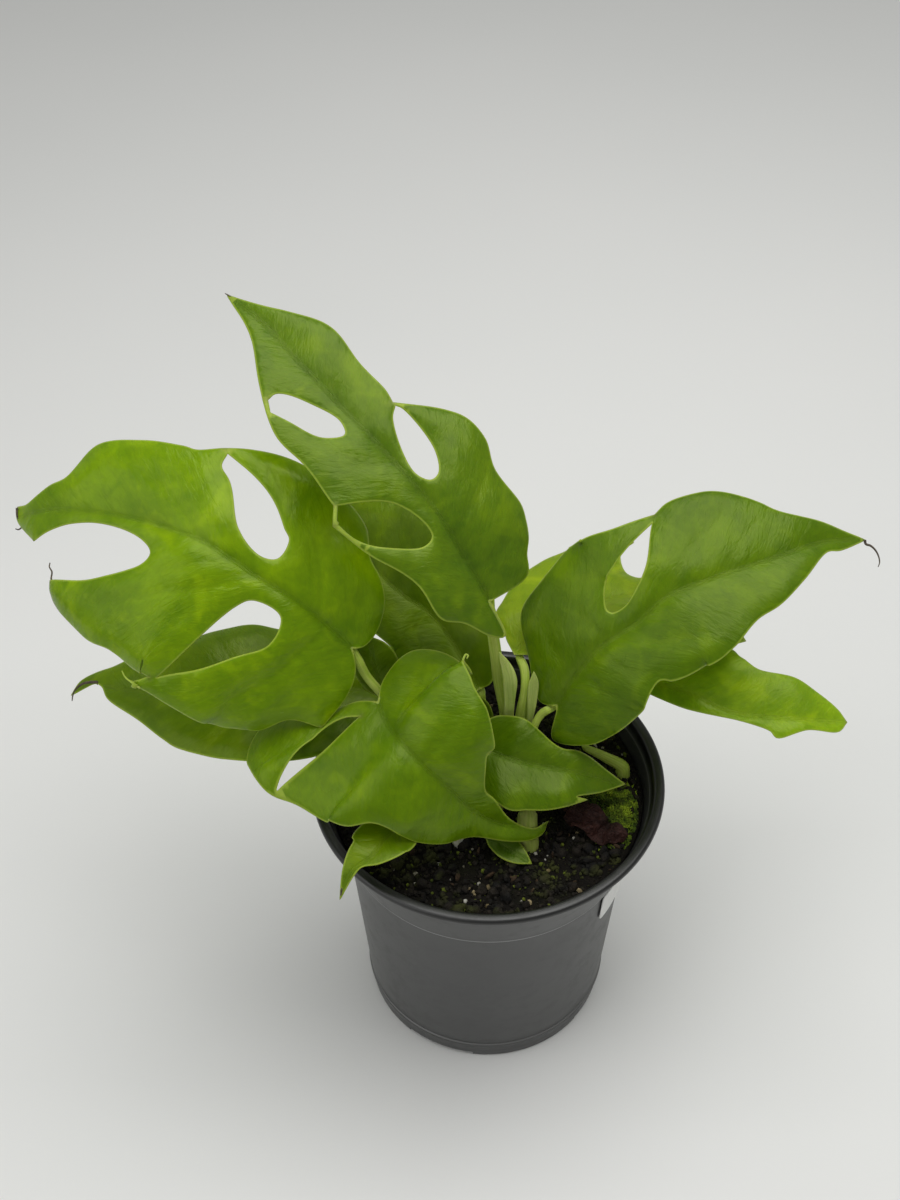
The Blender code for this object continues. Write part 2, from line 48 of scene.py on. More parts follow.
# Pot
RIM_R, RIM_Z = 52.5, 93.7          # 105 mm nursery pot
BASE_R = 37.7
WALL = 1.2
COLLAR_R, COLLAR_Z = 43.9, 72.0    # the stacking ring where the collar starts
BAND_Z = 6.8                       # the ring just over the foot
PLATE_R = 22.0                     # flat middle of the base, on the ground
FOOT_R = 35.0
PLATE_Z = 2.4                      # underside of the drain ring
FLOOR_Z = 3.8                      # inside floor
DRAIN_R, DRAIN_AT, DRAINS = 3.2, 28.5, 8
NOTCH_AT, NOTCH_HALF, NOTCH_H = 246.0, 17.0, 1.6
STEPS = 180

# Growing medium
SOIL_Z = 86.0
THREAD = 0.6                       # the strip of margin that closes a leaf opening

# name: midrib, up side, fold and curl of the left and right halves, margin, openings
LEAVES = {
    "leaf_top": dict(
        mid="0,6,160 -6,10,171 -15,17,184 -25,24,194 -37,33,203 -51,45,212 -61,56,217 -71,66,219",
        up="0.25,-0.55,0.8 0.25,-0.55,0.8 0.2,-0.6,0.78", left="6,-4", right="6,-5",
        margin="0,0 0,13 5,16 9,19 17,22 29,21 36,24 45,23 | 59,11 63,12 72,12 88,13 103,4 | 115,0 97,-6 73,-19 62,-19 | 49,-21 | 45,-25 31,-22 17,-16 5,-15 0,-10 -8,-5 -11,-1",
        holes=["58,11 56,8 49,4 41,2 37,4 37,7 43,11 56,12", "49,-21 39,-8 25,-5 24,-9 32,-19 39,-23 | 46,-24", "81,-14 81,-11 76,-7 65,-3 61,-5 64,-10 73,-14 | 78,-16"]),
    "leaf_left": dict(
        mid="-38,2,146 -43,3,152 -52,5,161 -64,8,169 -78,14,176 -94,21,177 -107,27,175 -122,34,170 -135,41,161",
        up="-0.05,-0.6,0.8 -0.05,-0.62,0.78 -0.1,-0.62,0.78 -0.35,-0.6,0.7", left="4,-7", right="4,-7",
        margin="0,0 -2,3 -1,10 7,19 13,22 19,29 43,33 | 57,26 63,23 67,23 90,19 98,9 103,7 113,3 | 119,3 120,0 | 111,-8 95,-4 84,-3 69,-5 65,-8 67,-12 84,-19 | 103,-20 104,-23 85,-35 71,-37 62,-40 | 43,-40 47,-43 | 63,-44 51,-45 39,-44 12,-41 8,-38 2,-35 -1,-27 | -10,-22 -8,-10 -5,-4",
        holes=["56,25 56,21 53,18 46,8 37,5 32,7 32,13 35,15 43,20", "41,-39 35,-10 32,-6 23,-6 21,-14 29,-23"]),
    "leaf_left_low": dict(
        mid="-29,12,116 -40,13,118 -55,11,119 -69,10,120 -84,11,119 -99,14,116 -112,18,114 -124,23,109",
        up="0,-0.25,0.97 -0.1,-0.25,0.97 -0.3,-0.25,0.9", left="4,-5", right="2,-6",
        margin="0,0 5,8 18,20 32,23 44,24 73,15 87,7 96,3 98,1 | 99,-3 91,1 88,0 84,-4 73,-9 64,-15 59,-18 40,-22 24,-21 3,-12",
        holes=[]),
    "leaf_back": dict(
        mid="-2,12,117 -10,23,126 -17,31,131 -25,36,134 -34,45,137 -43,56,140 -51,68,141",
        up="-0.3,-0.5,0.8", left="8,-3", right="8,-3",
        margin="1,1 1,4 5,8 12,12 28,22 43,23 59,19 75,6 | 81,0 65,-4 47,-11 42,-14 37,-14 24,-16 12,-14 2,-7",
        holes=[]),
    "leaf_front": dict(
        mid="-31,-7,133 -28,-15,132 -24,-21,132 -18,-26,128 -12,-28,122 -5,-28,112 4,-25,102 17,-19,94",
        up="-0.1,-0.75,0.65 0,-0.8,0.6 0.1,-0.75,0.65", left="8,-9", right="8,-3 8,-5 8,-7",
        margin="-1,0 -6,-4 -10,-15 -3,-24 12,-28 18,-25 26,-23 32,-19 34,-17 34,-14 42,-7 49,-6 71,1 | 76,-1 75,2 71,4 52,6 40,17 26,20 21,27 10,32 6,39 -2,41 -5,41 -12,34 -7,19 -5,12 -4,5",
        holes=["1,6 5,16 | 7,37 3,27 -1,17 -1,10"]),
    "leaf_front_right": dict(
        mid="0,-8,114 6,-11,114 14,-12,112 25,-12,109 32,-11,105 40,-10,101",
        up="0,-0.55,0.83", left="8,-5", right="8,-9",
        margin="0,0 -4,-4 -3,-9 7,-12 21,-6 26,-6 | 43,0 35,4 27,7 | 31,7 | 25,10 19,12 14,13 9,14 0,7",
        holes=[]),
    "leaf_front_left": dict(
        mid="-25,-30,108 -29,-34,108 -33,-40,107 -38,-43,105 -42,-47,97",
        up="-0.1,-0.35,0.9", left="8,-4", right="8,-6",
        margin="0,0 2,5 9,8 16,6 20,3 | 29,0 20,-1 16,-1 8,-7 1,-7 -1,-4",
        holes=[]),
    "leaf_right": dict(
        mid="19,0,124 23,1,133 30,2,145 41,4,154 48,7,160 60,10,164 71,14,165 82,18,166 94,24,165 107,29,161",
        up="-0.2,-0.5,0.85 -0.1,-0.5,0.85 0,-0.45,0.87 0.2,-0.45,0.85", left="8,-7", right="8,-8",
        margin="0,0 -2,-4 -1,-7 6,-13 14,-24 23,-26 31,-29 43,-28 48,-24 | 54,-23 58,-25 71,-24 80,-19 91,-10 104,-3 | 112,0 102,3 97,3 77,13 69,15 55,22 42,21 37,19 35,17 25,21 2,17 -9,6 -9,4 -1,1",
        holes=["53,-21 46,-8 33,-6 32,-8 36,-14 44,-16"]),
    "leaf_right_back": dict(
        mid="8,13,133 14,20,136 21,25,137 33,29,138 42,32,137 60,31,131 76,26,123",
        up="0.1,0.25,0.95 0,0.1,1", left="2,3", right="4,-3",
        margin="-1,0 2,-5 4,-7 7,-13 12,-16 23,-24 37,-27 40,-29 43,-29 | 45,-26 42,-21 42,-10 45,-9 52,-17 59,-18 | 79,-1 65,15 33,28 22,22 7,12 1,4",
        holes=[]),
    "leaf_right_low": dict(
        mid="43,22,113 51,19,113 60,15,113 72,9,111 89,7,110 107,9,106",
        up="0,-0.3,0.95 0,-0.45,0.9 0,-0.45,0.9", left="5,-3", right="-5,-20 0,-9 5,-2",
        margin="0,0 1,-5 22,-18 26,-17 33,-16 39,-14 52,-12 64,-4 | 67,0 64,3 54,3 45,6 43,4 33,2 19,5 7,4 2,3",
        holes=[]),
}
LEAVES.update({
    "leaf_small_mid": dict(
        mid="-1,7.8,108 -3,7.8,114 -5,7.8,118 -7,7.8,122", up="-0.2,-0.8,0.55", left="10,-6", right="10,-6",
        margin="0,0 2,-3 7,-4 12,-2 | 15,0 12,3 7,4 2,3", holes=[]),
    "leaf_small_left": dict(
        mid="-31,7,121 -32,8,128 -33,8,136 -33.5,8,145", up="0.1,-0.9,0.2", left="4,-4", right="4,-4",
        margin="0,0 4,-4 12,-6 19,-6 | 24,0 21,4 16,6.5 9,6.5 3,4", holes=[]),
    "leaf_seedling": dict(
        mid="-1,-20,89.5 2,-22,90.5 6,-25,90 12,-28.5,88.2", up="0,-0.3,0.95", left="8,-4", right="8,-4",
        margin="0,0 3,-2.6 8,-3.6 12,-2.4 | 16,0 12,2.6 8,3.6 3,2.6", holes=[]),
    "leaf_litter_inner": dict(
        mid="18,-2,89 22,-5,90.5 27,-8,89", up="0.2,-0.3,0.9", left="10,-14", right="-5,22",
        margin="0,0 2,-3 6,-4 | 9,-2 | 11,0 9,4 | 6,3 2,3", holes=[]),
    "leaf_litter_outer": dict(
        mid="22,-13,90 28,-15,91 34,-18,89.5 41,-20,90", up="0.1,-0.3,0.95", left="12,-10", right="-4,16",
        margin="0,0 3,-4 9,-5 | 13,-3 17,-3 | 20,0 16,3 | 12,4 | 9,3 3,3", holes=[]),
    "sheath_top": dict(
        mid="6.5,0.4,108 5.9,0.5,119 5.6,1,128 5,1.4,135 2.9,2.2,143", up="0,-0.9,0.4", left="0,4", right="0,4",
        margin="0,-1 10,-1.4 18,-1.2 26,-1.2 | 36.5,0 32,1.6 26,2.4 19,1.6 10,1 | 0,0.8", holes=[]),
    "sheath_right": dict(
        mid="11.8,1,116 12.2,2.2,125 12.6,3.4,136", up="0.2,-0.9,0.4", left="0,3", right="0,3",
        margin="0,-0.6 7,-1 14,-1.2 | 19,0 15,1.4 8,1.4 | 0,0.6", holes=[]),
})

# name: the leaf it carries (or None), path from the medium, radius at the root and at the end
STEMS = {
    "petiole_top": ("leaf_top", "6,3 6,3,100 5,3.2,117 2.8,4.2,131 1.2,5,146", 2.1, 1.5),
    "petiole_left": ("leaf_left", "-6,3 -7,3,98 -16,1,114 -27,-0.5,126 -34,1,135", 1.7, 1.2),
    "petiole_left_low": ("leaf_left_low", "-8,9 -8,9,98 -14,9.5,110 -22,9.5,117", 1.5, 1.0),
    "petiole_back": ("leaf_back", "-2,13 -2,13.5,98 -2,13.5,108", 1.6, 1.1),
    "petiole_front": ("leaf_front", "-5,-4 -6,-4,97 -15,-4,113 -25,-4.5,126", 1.6, 1.1),
    "petiole_front_right": ("leaf_front_right", "4,-6 4,-6.5,98 1.5,-8.5,108", 1.4, 1.0),
    "petiole_front_left": ("leaf_front_left", "-12,-14 -13,-15,95 -18,-22,102", 1.3, 0.8),
    "petiole_right": ("leaf_right", "13,-3 13,-3,104 12.8,-1.6,116 15,0.4,120.2", 1.4, 1.0),
    "petiole_right_back": ("leaf_right_back", "9.6,0 9.6,0.5,100 9,2,117 10.3,4.4,127 10.2,8.4,130.5", 1.8, 1.1),
    "petiole_right_low": ("leaf_right_low", "11,8 11,8,100 11,8.5,114 15,9,121 28,16,121.5 37,19.5,115", 1.5, 1.0),
    "stem_front": (None, "11,-20 11,-19.6,90 11,-17.8,95 11.2,-15.8,99", 3.3, 2.7),
    "stem_right": (None, "41,6.4 40.8,6.8,89 35,8.6,92 28.5,10,95", 2.1, 1.0),
    "petiole_small_left": ("leaf_small_left", "-13,5.5 -13,5.5,96 -21,5,108 -27.5,5.8,116", 1.1, 0.8),
    "stalk_young": (None, "4,9 4,9,100 6,9.6,118 6.9,9.8,127", 1.3, 0.8),
    "stub_front": (None, "-9,-19 -9,-19,88.5 -9,-19,91", 1.7, 1.4),
}

def table(text):
    return np.array([[float(n) for n in item.split(",")] for item in text.split()])


def curve(points, count):
    """Points along a smooth curve through the given ones (centripetal Catmull-Rom)."""
    p = np.vstack([2 * points[0] - points[1], points, 2 * points[-1] - points[-2]])
    t = np.concatenate([[0], np.cumsum(np.linalg.norm(np.diff(p, axis=0), axis=1) ** 0.5)])
    out = []
    for i in range(1, len(p) - 2):
        t0, t1, t2, t3 = t[i - 1:i + 3]
        s = np.linspace(t1, t2, count, endpoint=False)[:, None]
        a1 = (t1 - s) / (t1 - t0) * p[i - 1] + (s - t0) / (t1 - t0) * p[i]
        a2 = (t2 - s) / (t2 - t1) * p[i] + (s - t1) / (t2 - t1) * p[i + 1]
        a3 = (t3 - s) / (t3 - t2) * p[i + 1] + (s - t2) / (t3 - t2) * p[i + 2]
        b1 = (t2 - s) / (t2 - t0) * a1 + (s - t0) / (t2 - t0) * a2
        b2 = (t3 - s) / (t3 - t1) * a2 + (s - t1) / (t3 - t1) * a3
        out.append((t2 - s) / (t2 - t1) * b1 + (s - t1) / (t2 - t1) * b2)
    return np.vstack(out + [p[-2:-1]])


def blend(f, values):
    """Values at even stations, blended smoothly at the fractions f."""
    if len(values) == 1:
        return np.repeat(values, len(f), axis=0)
    x = np.clip(f, 0, 1) * (len(values) - 1)
    i = np.clip(x.astype(int), 0, len(values) - 2)
    r = (x - i) ** 2 * (3 - 2 * (x - i))
    return values[i] * (1 - r)[:, None] + values[i + 1] * r[:, None]


class Blade:
    """The surface a leaf lies on: fold in degrees at the midrib, curl in degrees per 10 mm."""

    def __init__(self, leaf):
        self.line = curve(table(leaf["mid"]), 24)
        self.arc = np.concatenate([[0], np.cumsum(np.linalg.norm(np.diff(self.line, axis=0), axis=1))])
        self.length = self.arc[-1]
        tangent = np.gradient(self.line, self.arc, axis=0)
        self.tangent = tangent / np.linalg.norm(tangent, axis=1)[:, None]
        self.up, self.left, self.right = (table(leaf[k]) for k in ("up", "left", "right"))

    def at(self, u, v, lift=0.0):
        u, v = np.atleast_1d(u).astype(float), np.atleast_1d(v).astype(float)
        c = np.clip(u, 0, self.length)
        m, t = (np.stack([np.interp(c, self.arc, a[:, k]) for k in range(3)], 1) for a in (self.line, self.tangent))
        m = m + t * (u - c)[:, None]
        n = blend(c / self.length, self.up)
        n = n - t * (n * t).sum(1)[:, None]
        n /= np.linalg.norm(n, axis=1)[:, None]
        a = np.where((v < 0)[:, None], blend(c / self.length, self.left), blend(c / self.length, self.right))
        fold, k = np.radians(a[:, 0]), np.radians(a[:, 1]) / 10
        k = np.where(abs(k) < 1e-6, 1e-6, k)
        x = abs(v)
        out = (np.sin(fold + k * x) - np.sin(fold)) / k
        rise = (np.cos(fold) - np.cos(fold + k * x)) / k
        return m + np.cross(t, n) * (np.sign(v) * out)[:, None] + n * (rise + lift)[:, None]


def outline(text, step):
    """The closed margin in (u, v): smooth runs that meet in corners at each |."""
    runs = [table(run) for run in text.split("|")]
    out = []
    for i, run in enumerate(runs):
        run = np.vstack([run, runs[(i + 1) % len(runs)][:1]])
        dense = curve(run, 16) if len(run) > 2 else run
        arc = np.concatenate([[0], np.cumsum(np.linalg.norm(np.diff(dense, axis=0), axis=1))])
        count = max(1, int(round(arc[-1] / step)))
        s = np.linspace(0, arc[-1], count + 1)[:-1]
        out.append(np.stack([np.interp(s, arc, dense[:, k]) for k in range(2)], 1))
    return np.vstack(out)


def nearest(points, ring):
    """Nearest point of a closed ring to each point, and its distance."""
    a, b = ring, np.roll(ring, -1, axis=0)
    ab = b - a
    t = np.clip(((points[:, None] - a) * ab).sum(2) / np.maximum((ab * ab).sum(1), 1e-12), 0, 1)
    q = a + t[..., None] * ab
    d = np.linalg.norm(points[:, None] - q, axis=2)
    i = d.argmin(1)
    return q[np.arange(len(points)), i], d[np.arange(len(points)), i]


def inside(points, ring):
    a, b = ring, np.roll(ring, -1, axis=0)
    x, y = points[:, :1], points[:, 1:]
    cross = (a[:, 1] > y) != (b[:, 1] > y)
    dy = np.where(b[:, 1] == a[:, 1], 1e-12, b[:, 1] - a[:, 1])
    return (cross & (x < (b[:, 0] - a[:, 0]) * (y - a[:, 1]) / dy + a[:, 0])).sum(1) % 2 == 1


def keep_off(hole, ring, gap):
    """Moves the points of an opening in from the margin, so a thread of blade closes it."""
    middle = hole.mean(0)
    for _ in range(40):
        q, d = nearest(hole, ring)
        near = (d < gap) | ~inside(hole, ring)
        if not near.any():
            break
        hole = np.where(near[:, None], hole + (middle - hole) * 0.06, hole)
    return hole


# ---------------------------------------------------------------- small helpers

def wall(z):
    return BASE_R + (COLLAR_R - 0.7 - BASE_R) * z / COLLAR_Z


def wobble(points, size, seed=0.0):
    """Smooth noise in -1..1 at each point, size is the length of a bump in mm."""
    return np.array([noise.noise(Vector((p[0] / size + seed, p[1] / size - seed, p[2] / size + 2 * seed))) for p in points])


def mesh_object(name, points, faces, smooth=True, attributes=None, recalc=True):
    mesh = bpy.data.meshes.new(name)
    mesh.from_pydata((np.asarray(points, float) * MM).tolist(), [], [tuple(int(i) for i in f) for f in faces])
    for key, values in (attributes or {}).items():
        data = np.asarray(values, np.float32)
        made = mesh.attributes.new(key, "FLOAT" if data.ndim == 1 else "FLOAT_VECTOR", "POINT")
        made.data.foreach_set("value" if data.ndim == 1 else "vector", data.ravel())
    if recalc:
        work = bmesh.new()
        work.from_mesh(mesh)
        bmesh.ops.recalc_face_normals(work, faces=work.faces)
        work.to_mesh(mesh)
        work.free()
    mesh.polygons.foreach_set("use_smooth", [smooth] * len(mesh.polygons))
    mesh.update()
    obj = bpy.data.objects.new(name, mesh)
    bpy.context.scene.collection.objects.link(obj)
    return obj


def piece(obj, mat, slot, *nodes):
    obj.data.materials.clear()
    obj.data.materials.append(mat)
    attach(obj, "root")
    if nodes:
        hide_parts(*nodes)
    return obj


# ---------------------------------------------------------------- materials

class Paint:
    """A Principled material whose colour, roughness and bump come from nodes."""

    def __init__(self, name, **constants):
        self.mat = bpy.data.materials.new(name)
        self.mat.use_nodes = True
        self.nt = self.mat.node_tree
        self.nt.nodes.clear()
        self.out = self.nt.nodes.new("ShaderNodeOutputMaterial")
        self.shader = self.nt.nodes.new("ShaderNodeBsdfPrincipled")
        self.nt.links.new(self.shader.outputs[0], self.out.inputs[0])
        for key, value in constants.items():
            self.shader.inputs[key.replace("_", " ")].default_value = value
        self.place = self.nt.nodes.new("ShaderNodeTexCoord").outputs["Object"]

    def node(self, kind, inputs=None, **settings):
        n = self.nt.nodes.new("ShaderNode" + kind)
        for key, value in settings.items():
            setattr(n, key, value)
        for key, value in (inputs or {}).items():
            self.put(n.inputs[key], value)
        return n

    def put(self, socket, value):
        if isinstance(value, bpy.types.NodeSocket):
            self.nt.links.new(value, socket)
        else:
            socket.default_value = value

    def noise(self, scale, detail=3.0, roughness=0.55, vector=None, distortion=0.0):
        return self.node("TexNoise", {"Vector": vector or self.place, "Scale": scale, "Detail": detail,
                                      "Roughness": roughness, "Distortion": distortion}).outputs["Fac"]

    def cells(self, scale, feature="F1", vector=None, output="Distance"):
        return self.node("TexVoronoi", {"Vector": vector or self.place, "Scale": scale}, feature=feature).outputs[output]

    def height(self):
        return self.node("SeparateXYZ", {"Vector": self.place}).outputs["Z"]

    def attribute(self, name, output="Fac"):
        return self.node("Attribute", attribute_name=name, attribute_type="GEOMETRY").outputs[output]

    def span(self, value, a, b, low=0.0, high=1.0):
        n = self.node("MapRange", {0: value, 1: a, 2: b, 3: low, 4: high})
        n.clamp = True
        return n.outputs[0]

    def sums(self, operation, a, b):
        n = self.node("Math", operation=operation)
        self.put(n.inputs[0], a)
        self.put(n.inputs[1], b)
        return n.outputs[0]

    def mix(self, factor, a, b, blend="MIX"):
        n = self.nt.nodes.new("ShaderNodeMix")
        n.data_type, n.blend_type = "RGBA", blend
        self.put(n.inputs[0], factor)
        for socket, value in ((n.inputs[6], a), (n.inputs[7], b)):
            self.put(socket, (*value, 1) if isinstance(value, tuple) and len(value) == 3 else value)
        return n.outputs[2]

    def scaled(self, x, y, z, vector=None):
        return self.node("Mapping", {"Vector": vector or self.place, "Scale": (x, y, z)}).outputs[0]

    def bump(self, height, distance, strength=1.0, before=None):
        n = self.node("Bump", {"Height": height, "Distance": distance, "Strength": strength})
        if before is not None:
            self.put(n.inputs["Normal"], before)
        return n.outputs[0]

    def finish(self, colour, roughness, normal=None):
        self.put(self.shader.inputs["Base Color"], colour)
        self.put(self.shader.inputs["Roughness"], roughness)
        if normal is not None:
            self.put(self.shader.inputs["Normal"], normal)
        return self.mat


def leaf_paint(name, light, deep, vein_shade, vein_colour_and_groove_shade, gloss=0.36):
    """light and deep are the two greens of the blade; the vein colour is what the veins take by vein_shade, and where
    it is darker than the blade it is painted shade in the sunken vein grooves.
    """
    p = Paint(name, Subsurface_Weight=0.22, Subsurface_Radius=(0.6, 1.0, 0.05), Subsurface_Scale=0.0012,
              Specular_IOR_Level=0.36, Specular_Tint=(0.92, 1.0, 0.42, 1))
    flow = p.attribute("flow", "Vector")
    broad = p.noise(45, 3, 0.5, distortion=0.4)
    blotch = p.noise(85, 2, 0.5, distortion=0.8)
    streak = p.noise(1.0, 3, 0.55, p.scaled(0.16, 0.03, 1.0, flow), 0.2)
    fine = p.noise(700, 3, 0.6)
    green = p.mix(p.span(broad, 0.36, 0.64), light, deep)
    green = p.mix(p.span(blotch, 0.54, 0.70, 0.0, 0.60), green, (light[0] * 1.60, light[1] * 1.40, light[2]))
    green = p.mix(p.span(blotch, 0.30, 0.45, 0.50, 0.0), green, (deep[0] * 0.66, deep[1] * 0.78, deep[2]))
    green = p.mix(p.span(streak, 0.45, 0.68, 0.0, 0.22), green, (light[0] * 1.35, light[1] * 1.28, light[2]))
    mottle = p.noise(230, 4, 0.62, distortion=0.5)
    green = p.mix(p.span(mottle, 0.50, 0.68, 0.0, 0.30), green, (light[0] * 1.40, light[1] * 1.28, light[2]))
    green = p.mix(p.span(mottle, 0.34, 0.46, 0.25, 0.0), green, (deep[0] * 0.75, deep[1] * 0.82, deep[2]))
    # The fine net of veins: cells about 3 mm across, drawn out along the laterals.
    net = p.cells(1.0, "DISTANCE_TO_EDGE", p.scaled(0.40, 0.22, 1.0, flow))
    green = p.mix(p.span(net, 0.01, 0.07, 0.10, 0.0), green, (deep[0] * 0.85, deep[1] * 0.85, deep[2]))
    green = p.mix(p.span(fine, 0.40, 0.72, 0.0, 0.10), green, (deep[0] * 0.7, deep[1] * 0.72, deep[2]))
    # Veins and a band along the midrib take the vein colour: where it is darker than the blade, painted shade in the
    # sunken grooves.
    green = p.mix(p.span(p.attribute("vein"), 0.12, 0.9, 0.0, vein_shade), green, vein_colour_and_groove_shade)
    # A paler underside and a thin pale margin, with dry brown points.
    under = p.mix(p.span(broad, 0.3, 0.7), (0.6 * light[0] + 0.11, 0.6 * light[1] + 0.14, 0.030),
                  (0.6 * light[0] + 0.08, 0.6 * light[1] + 0.11, 0.022))
    under = p.mix(p.span(p.attribute("vein"), 0.2, 0.9, 0.0, 0.5), under, (0.34, 0.44, 0.10))
    green = p.mix(p.span(p.attribute("under"), 0.45, 0.7), green, under)
    green = p.mix(p.span(p.attribute("edge"), 0.05, 0.42, 0.62, 0.0), green, (0.36, 0.45, 0.06))
    green = p.mix(p.attribute("dry"), green, (0.085, 0.062, 0.045))
    rough = p.sums("ADD", p.span(broad, 0.3, 0.7, gloss - 0.17, gloss - 0.07), p.span(streak, 0.35, 0.7, -0.02, 0.04))
    relief = p.bump(p.span(net, 0.0, 0.10), 0.00005, 0.35)
    relief = p.bump(streak, 0.0004, 0.35, relief)
    relief = p.bump(p.noise(1.0, 4, 0.6, p.scaled(0.34, 0.17, 1.0, flow), 0.6), 0.0005, 0.55, relief)
    relief = p.bump(fine, 0.00005, 0.35, relief)
    return p.finish(green, rough, relief)


def stem_paint(name, light, deep, foot):
    p = Paint(name, Subsurface_Weight=0.3, Subsurface_Radius=(0.7, 1.0, 0.2), Subsurface_Scale=0.0015, Specular_IOR_Level=0.35, Specular_Tint=(0.92, 1.0, 0.6, 1))
    flow = p.attribute("flow", "Vector")
    streak = p.noise(1.0, 3, 0.6, p.scaled(0.06, 1.6, 1.6, flow))
    spots = p.noise(420, 3, 0.6)
    colour = p.mix(p.span(streak, 0.35, 0.68), deep, light)
    colour = p.mix(p.span(spots, 0.55, 0.75, 0.0, 0.35), colour, tuple(c * 0.8 for c in deep))
    colour = p.mix(p.span(p.attribute("along"), 0.02, 0.30, 0.7, 0.0), colour, foot)
    return p.finish(colour, p.span(spots, 0.3, 0.7, 0.36, 0.5), p.bump(streak, 0.00025, 0.6, p.bump(spots, 0.0001, 0.4)))


def pot_paint():
    """Black injection-moulded plastic, with a grey bloom, handling dust and faint rub marks, three thin painted
    highlight lines, and painted shade on the lip and the inside.
    """
    p = Paint("pot_plastic", Specular_IOR_Level=0.75)
    wide = p.noise(22, 4, 0.55)
    dust = p.noise(160, 5, 0.7)
    rub = p.noise(60, 3, 0.6, p.scaled(1, 1, 0.06))
    grain = p.noise(2600, 2, 0.6)
    specks = p.cells(700)
    colour = p.mix(p.span(wide, 0.35, 0.7), (0.030, 0.031, 0.031), (0.042, 0.043, 0.042))
    colour = p.mix(p.span(dust, 0.58, 0.80, 0.0, 0.35), colour, (0.075, 0.073, 0.068))
    colour = p.mix(p.span(rub, 0.60, 0.74, 0.0, 0.25), colour, (0.055, 0.057, 0.057))
    colour = p.mix(p.span(specks, 0.03, 0.10, 0.35, 0.0), colour, (0.12, 0.115, 0.10))
    z = p.height()
    # Three thin painted highlight lines: on the collar step, under the lip and just above the foot ring.
    for at, half, tone in ((COLLAR_Z / 1000 - 0.0003, 0.00055, 0.26), (0.0897, 0.0004, 0.16), (BAND_Z / 1000 + 0.0007, 0.0004, 0.15)):
        near = p.node("Math", {0: p.sums("SUBTRACT", z, at)}, operation="ABSOLUTE").outputs[0]
        colour = p.mix(p.span(near, half * 0.4, half, 0.8, 0.0), colour, (tone, tone, tone))
    # Painted shade: from 90.5 mm up, the lip top and the inside of the pot are painted near-black, darker than the
    # plastic itself.
    lip = p.span(z, 0.0905, 0.0915)
    colour = p.mix(lip, colour, (0.0015, 0.0015, 0.0015))
    rough = p.sums("ADD", p.span(wide, 0.3, 0.7, 0.32, 0.42), p.span(dust, 0.5, 0.8, 0.0, 0.14))
    return p.finish(colour, rough, p.bump(wide, 0.0012, 0.35, p.bump(rub, 0.0002, 0.4, p.bump(grain, 0.00003, 0.5))))


def peat_paint():
    p = Paint("peat_soil", Specular_IOR_Level=0.2)
    broad, mid, fine = p.noise(70, 4, 0.6), p.noise(420, 4, 0.65), p.noise(1900, 3, 0.7)
    colour = p.mix(p.span(mid, 0.32, 0.68), (0.002, 0.0015, 0.001), (0.009, 0.0068, 0.0042))
    colour = p.mix(p.span(broad, 0.52, 0.70, 0.0, 0.55), colour, (0.015, 0.017, 0.003))
    colour = p.mix(p.span(fine, 0.62, 0.78, 0.0, 0.4), colour, (0.06, 0.045, 0.026))
    return p.finish(colour, p.span(fine, 0.3, 0.7, 0.72, 0.95), p.bump(fine, 0.0006, 0.9, p.bump(mid, 0.0016, 0.8)))


def crumb_paint(name, dark, pale, olive):
    p = Paint(name, Specular_IOR_Level=0.3)
    each, fine = p.noise(260, 2, 0.5), p.noise(1600, 3, 0.7)
    colour = p.mix(p.span(each, 0.36, 0.62), dark, pale)
    colour = p.mix(p.span(p.noise(110, 2, 0.5), 0.52, 0.66, 0.0, 0.8), colour, olive)
    colour = p.mix(p.span(fine, 0.5, 0.75, 0.0, 0.5), colour, tuple(c * 0.4 for c in dark))
    return p.finish(colour, p.span(fine, 0.3, 0.7, 0.75, 0.95), p.bump(fine, 0.0004, 0.8))


def perlite_paint():
    p = Paint("perlite", Specular_IOR_Level=0.4, Subsurface_Weight=0.2, Subsurface_Radius=(1.0, 1.0, 1.0), Subsurface_Scale=0.001)
    fine, stain = p.noise(1500, 3, 0.7), p.noise(300, 3, 0.6)
    colour = p.mix(p.span(stain, 0.35, 0.65), (0.50, 0.49, 0.44), (0.17, 0.15, 0.10))
    return p.finish(colour, p.span(fine, 0.3, 0.7, 0.6, 0.85), p.bump(fine, 0.0005, 0.9))


def moss_paint():
    p = Paint("moss_green", Specular_IOR_Level=0.3, Subsurface_Weight=0.15, Subsurface_Radius=(0.5, 1.0, 0.1), Subsurface_Scale=0.001)
    patch, fine = p.noise(240, 3, 0.6), p.noise(1400, 3, 0.65)
    green = p.mix(p.attribute("tone"), (0.050, 0.095, 0.004), (0.36, 0.50, 0.020))
    # Painted shade: each tuft darkens toward its foot, and the cushion under the tufts is near-black green, for the
    # shade deep between them.
    colour = p.mix(p.span(p.attribute("tip"), 0.0, 1.0), (0.010, 0.018, 0.002), green)
    colour = p.mix(p.span(patch, 0.40, 0.55, 0.8, 0.0), colour, (0.014, 0.024, 0.003))
    colour = p.mix(p.span(p.noise(420, 2, 0.5), 0.42, 0.58, 0.55, 0.0), colour, (0.040, 0.075, 0.004))
    colour = p.mix(p.span(fine, 0.55, 0.75, 0.0, 0.35), colour, (0.02, 0.032, 0.003))
    return p.finish(colour, p.span(fine, 0.3, 0.7, 0.7, 0.9), p.bump(fine, 0.0002, 0.6))


def paper_paint():
    p = Paint("label_paper", Specular_IOR_Level=0.4)
    fibre = p.noise(900, 4, 0.65, p.scaled(1, 1, 0.35))
    tone = p.noise(60, 3, 0.5)
    colour = p.mix(p.span(fibre, 0.3, 0.7), (0.80, 0.80, 0.78), (0.88, 0.88, 0.865))
    colour = p.mix(p.span(tone, 0.6, 0.8, 0.0, 0.25), colour, (0.70, 0.68, 0.62))
    return p.finish(colour, p.span(fibre, 0.3, 0.7, 0.5, 0.62), p.bump(fibre, 0.00005, 0.6))


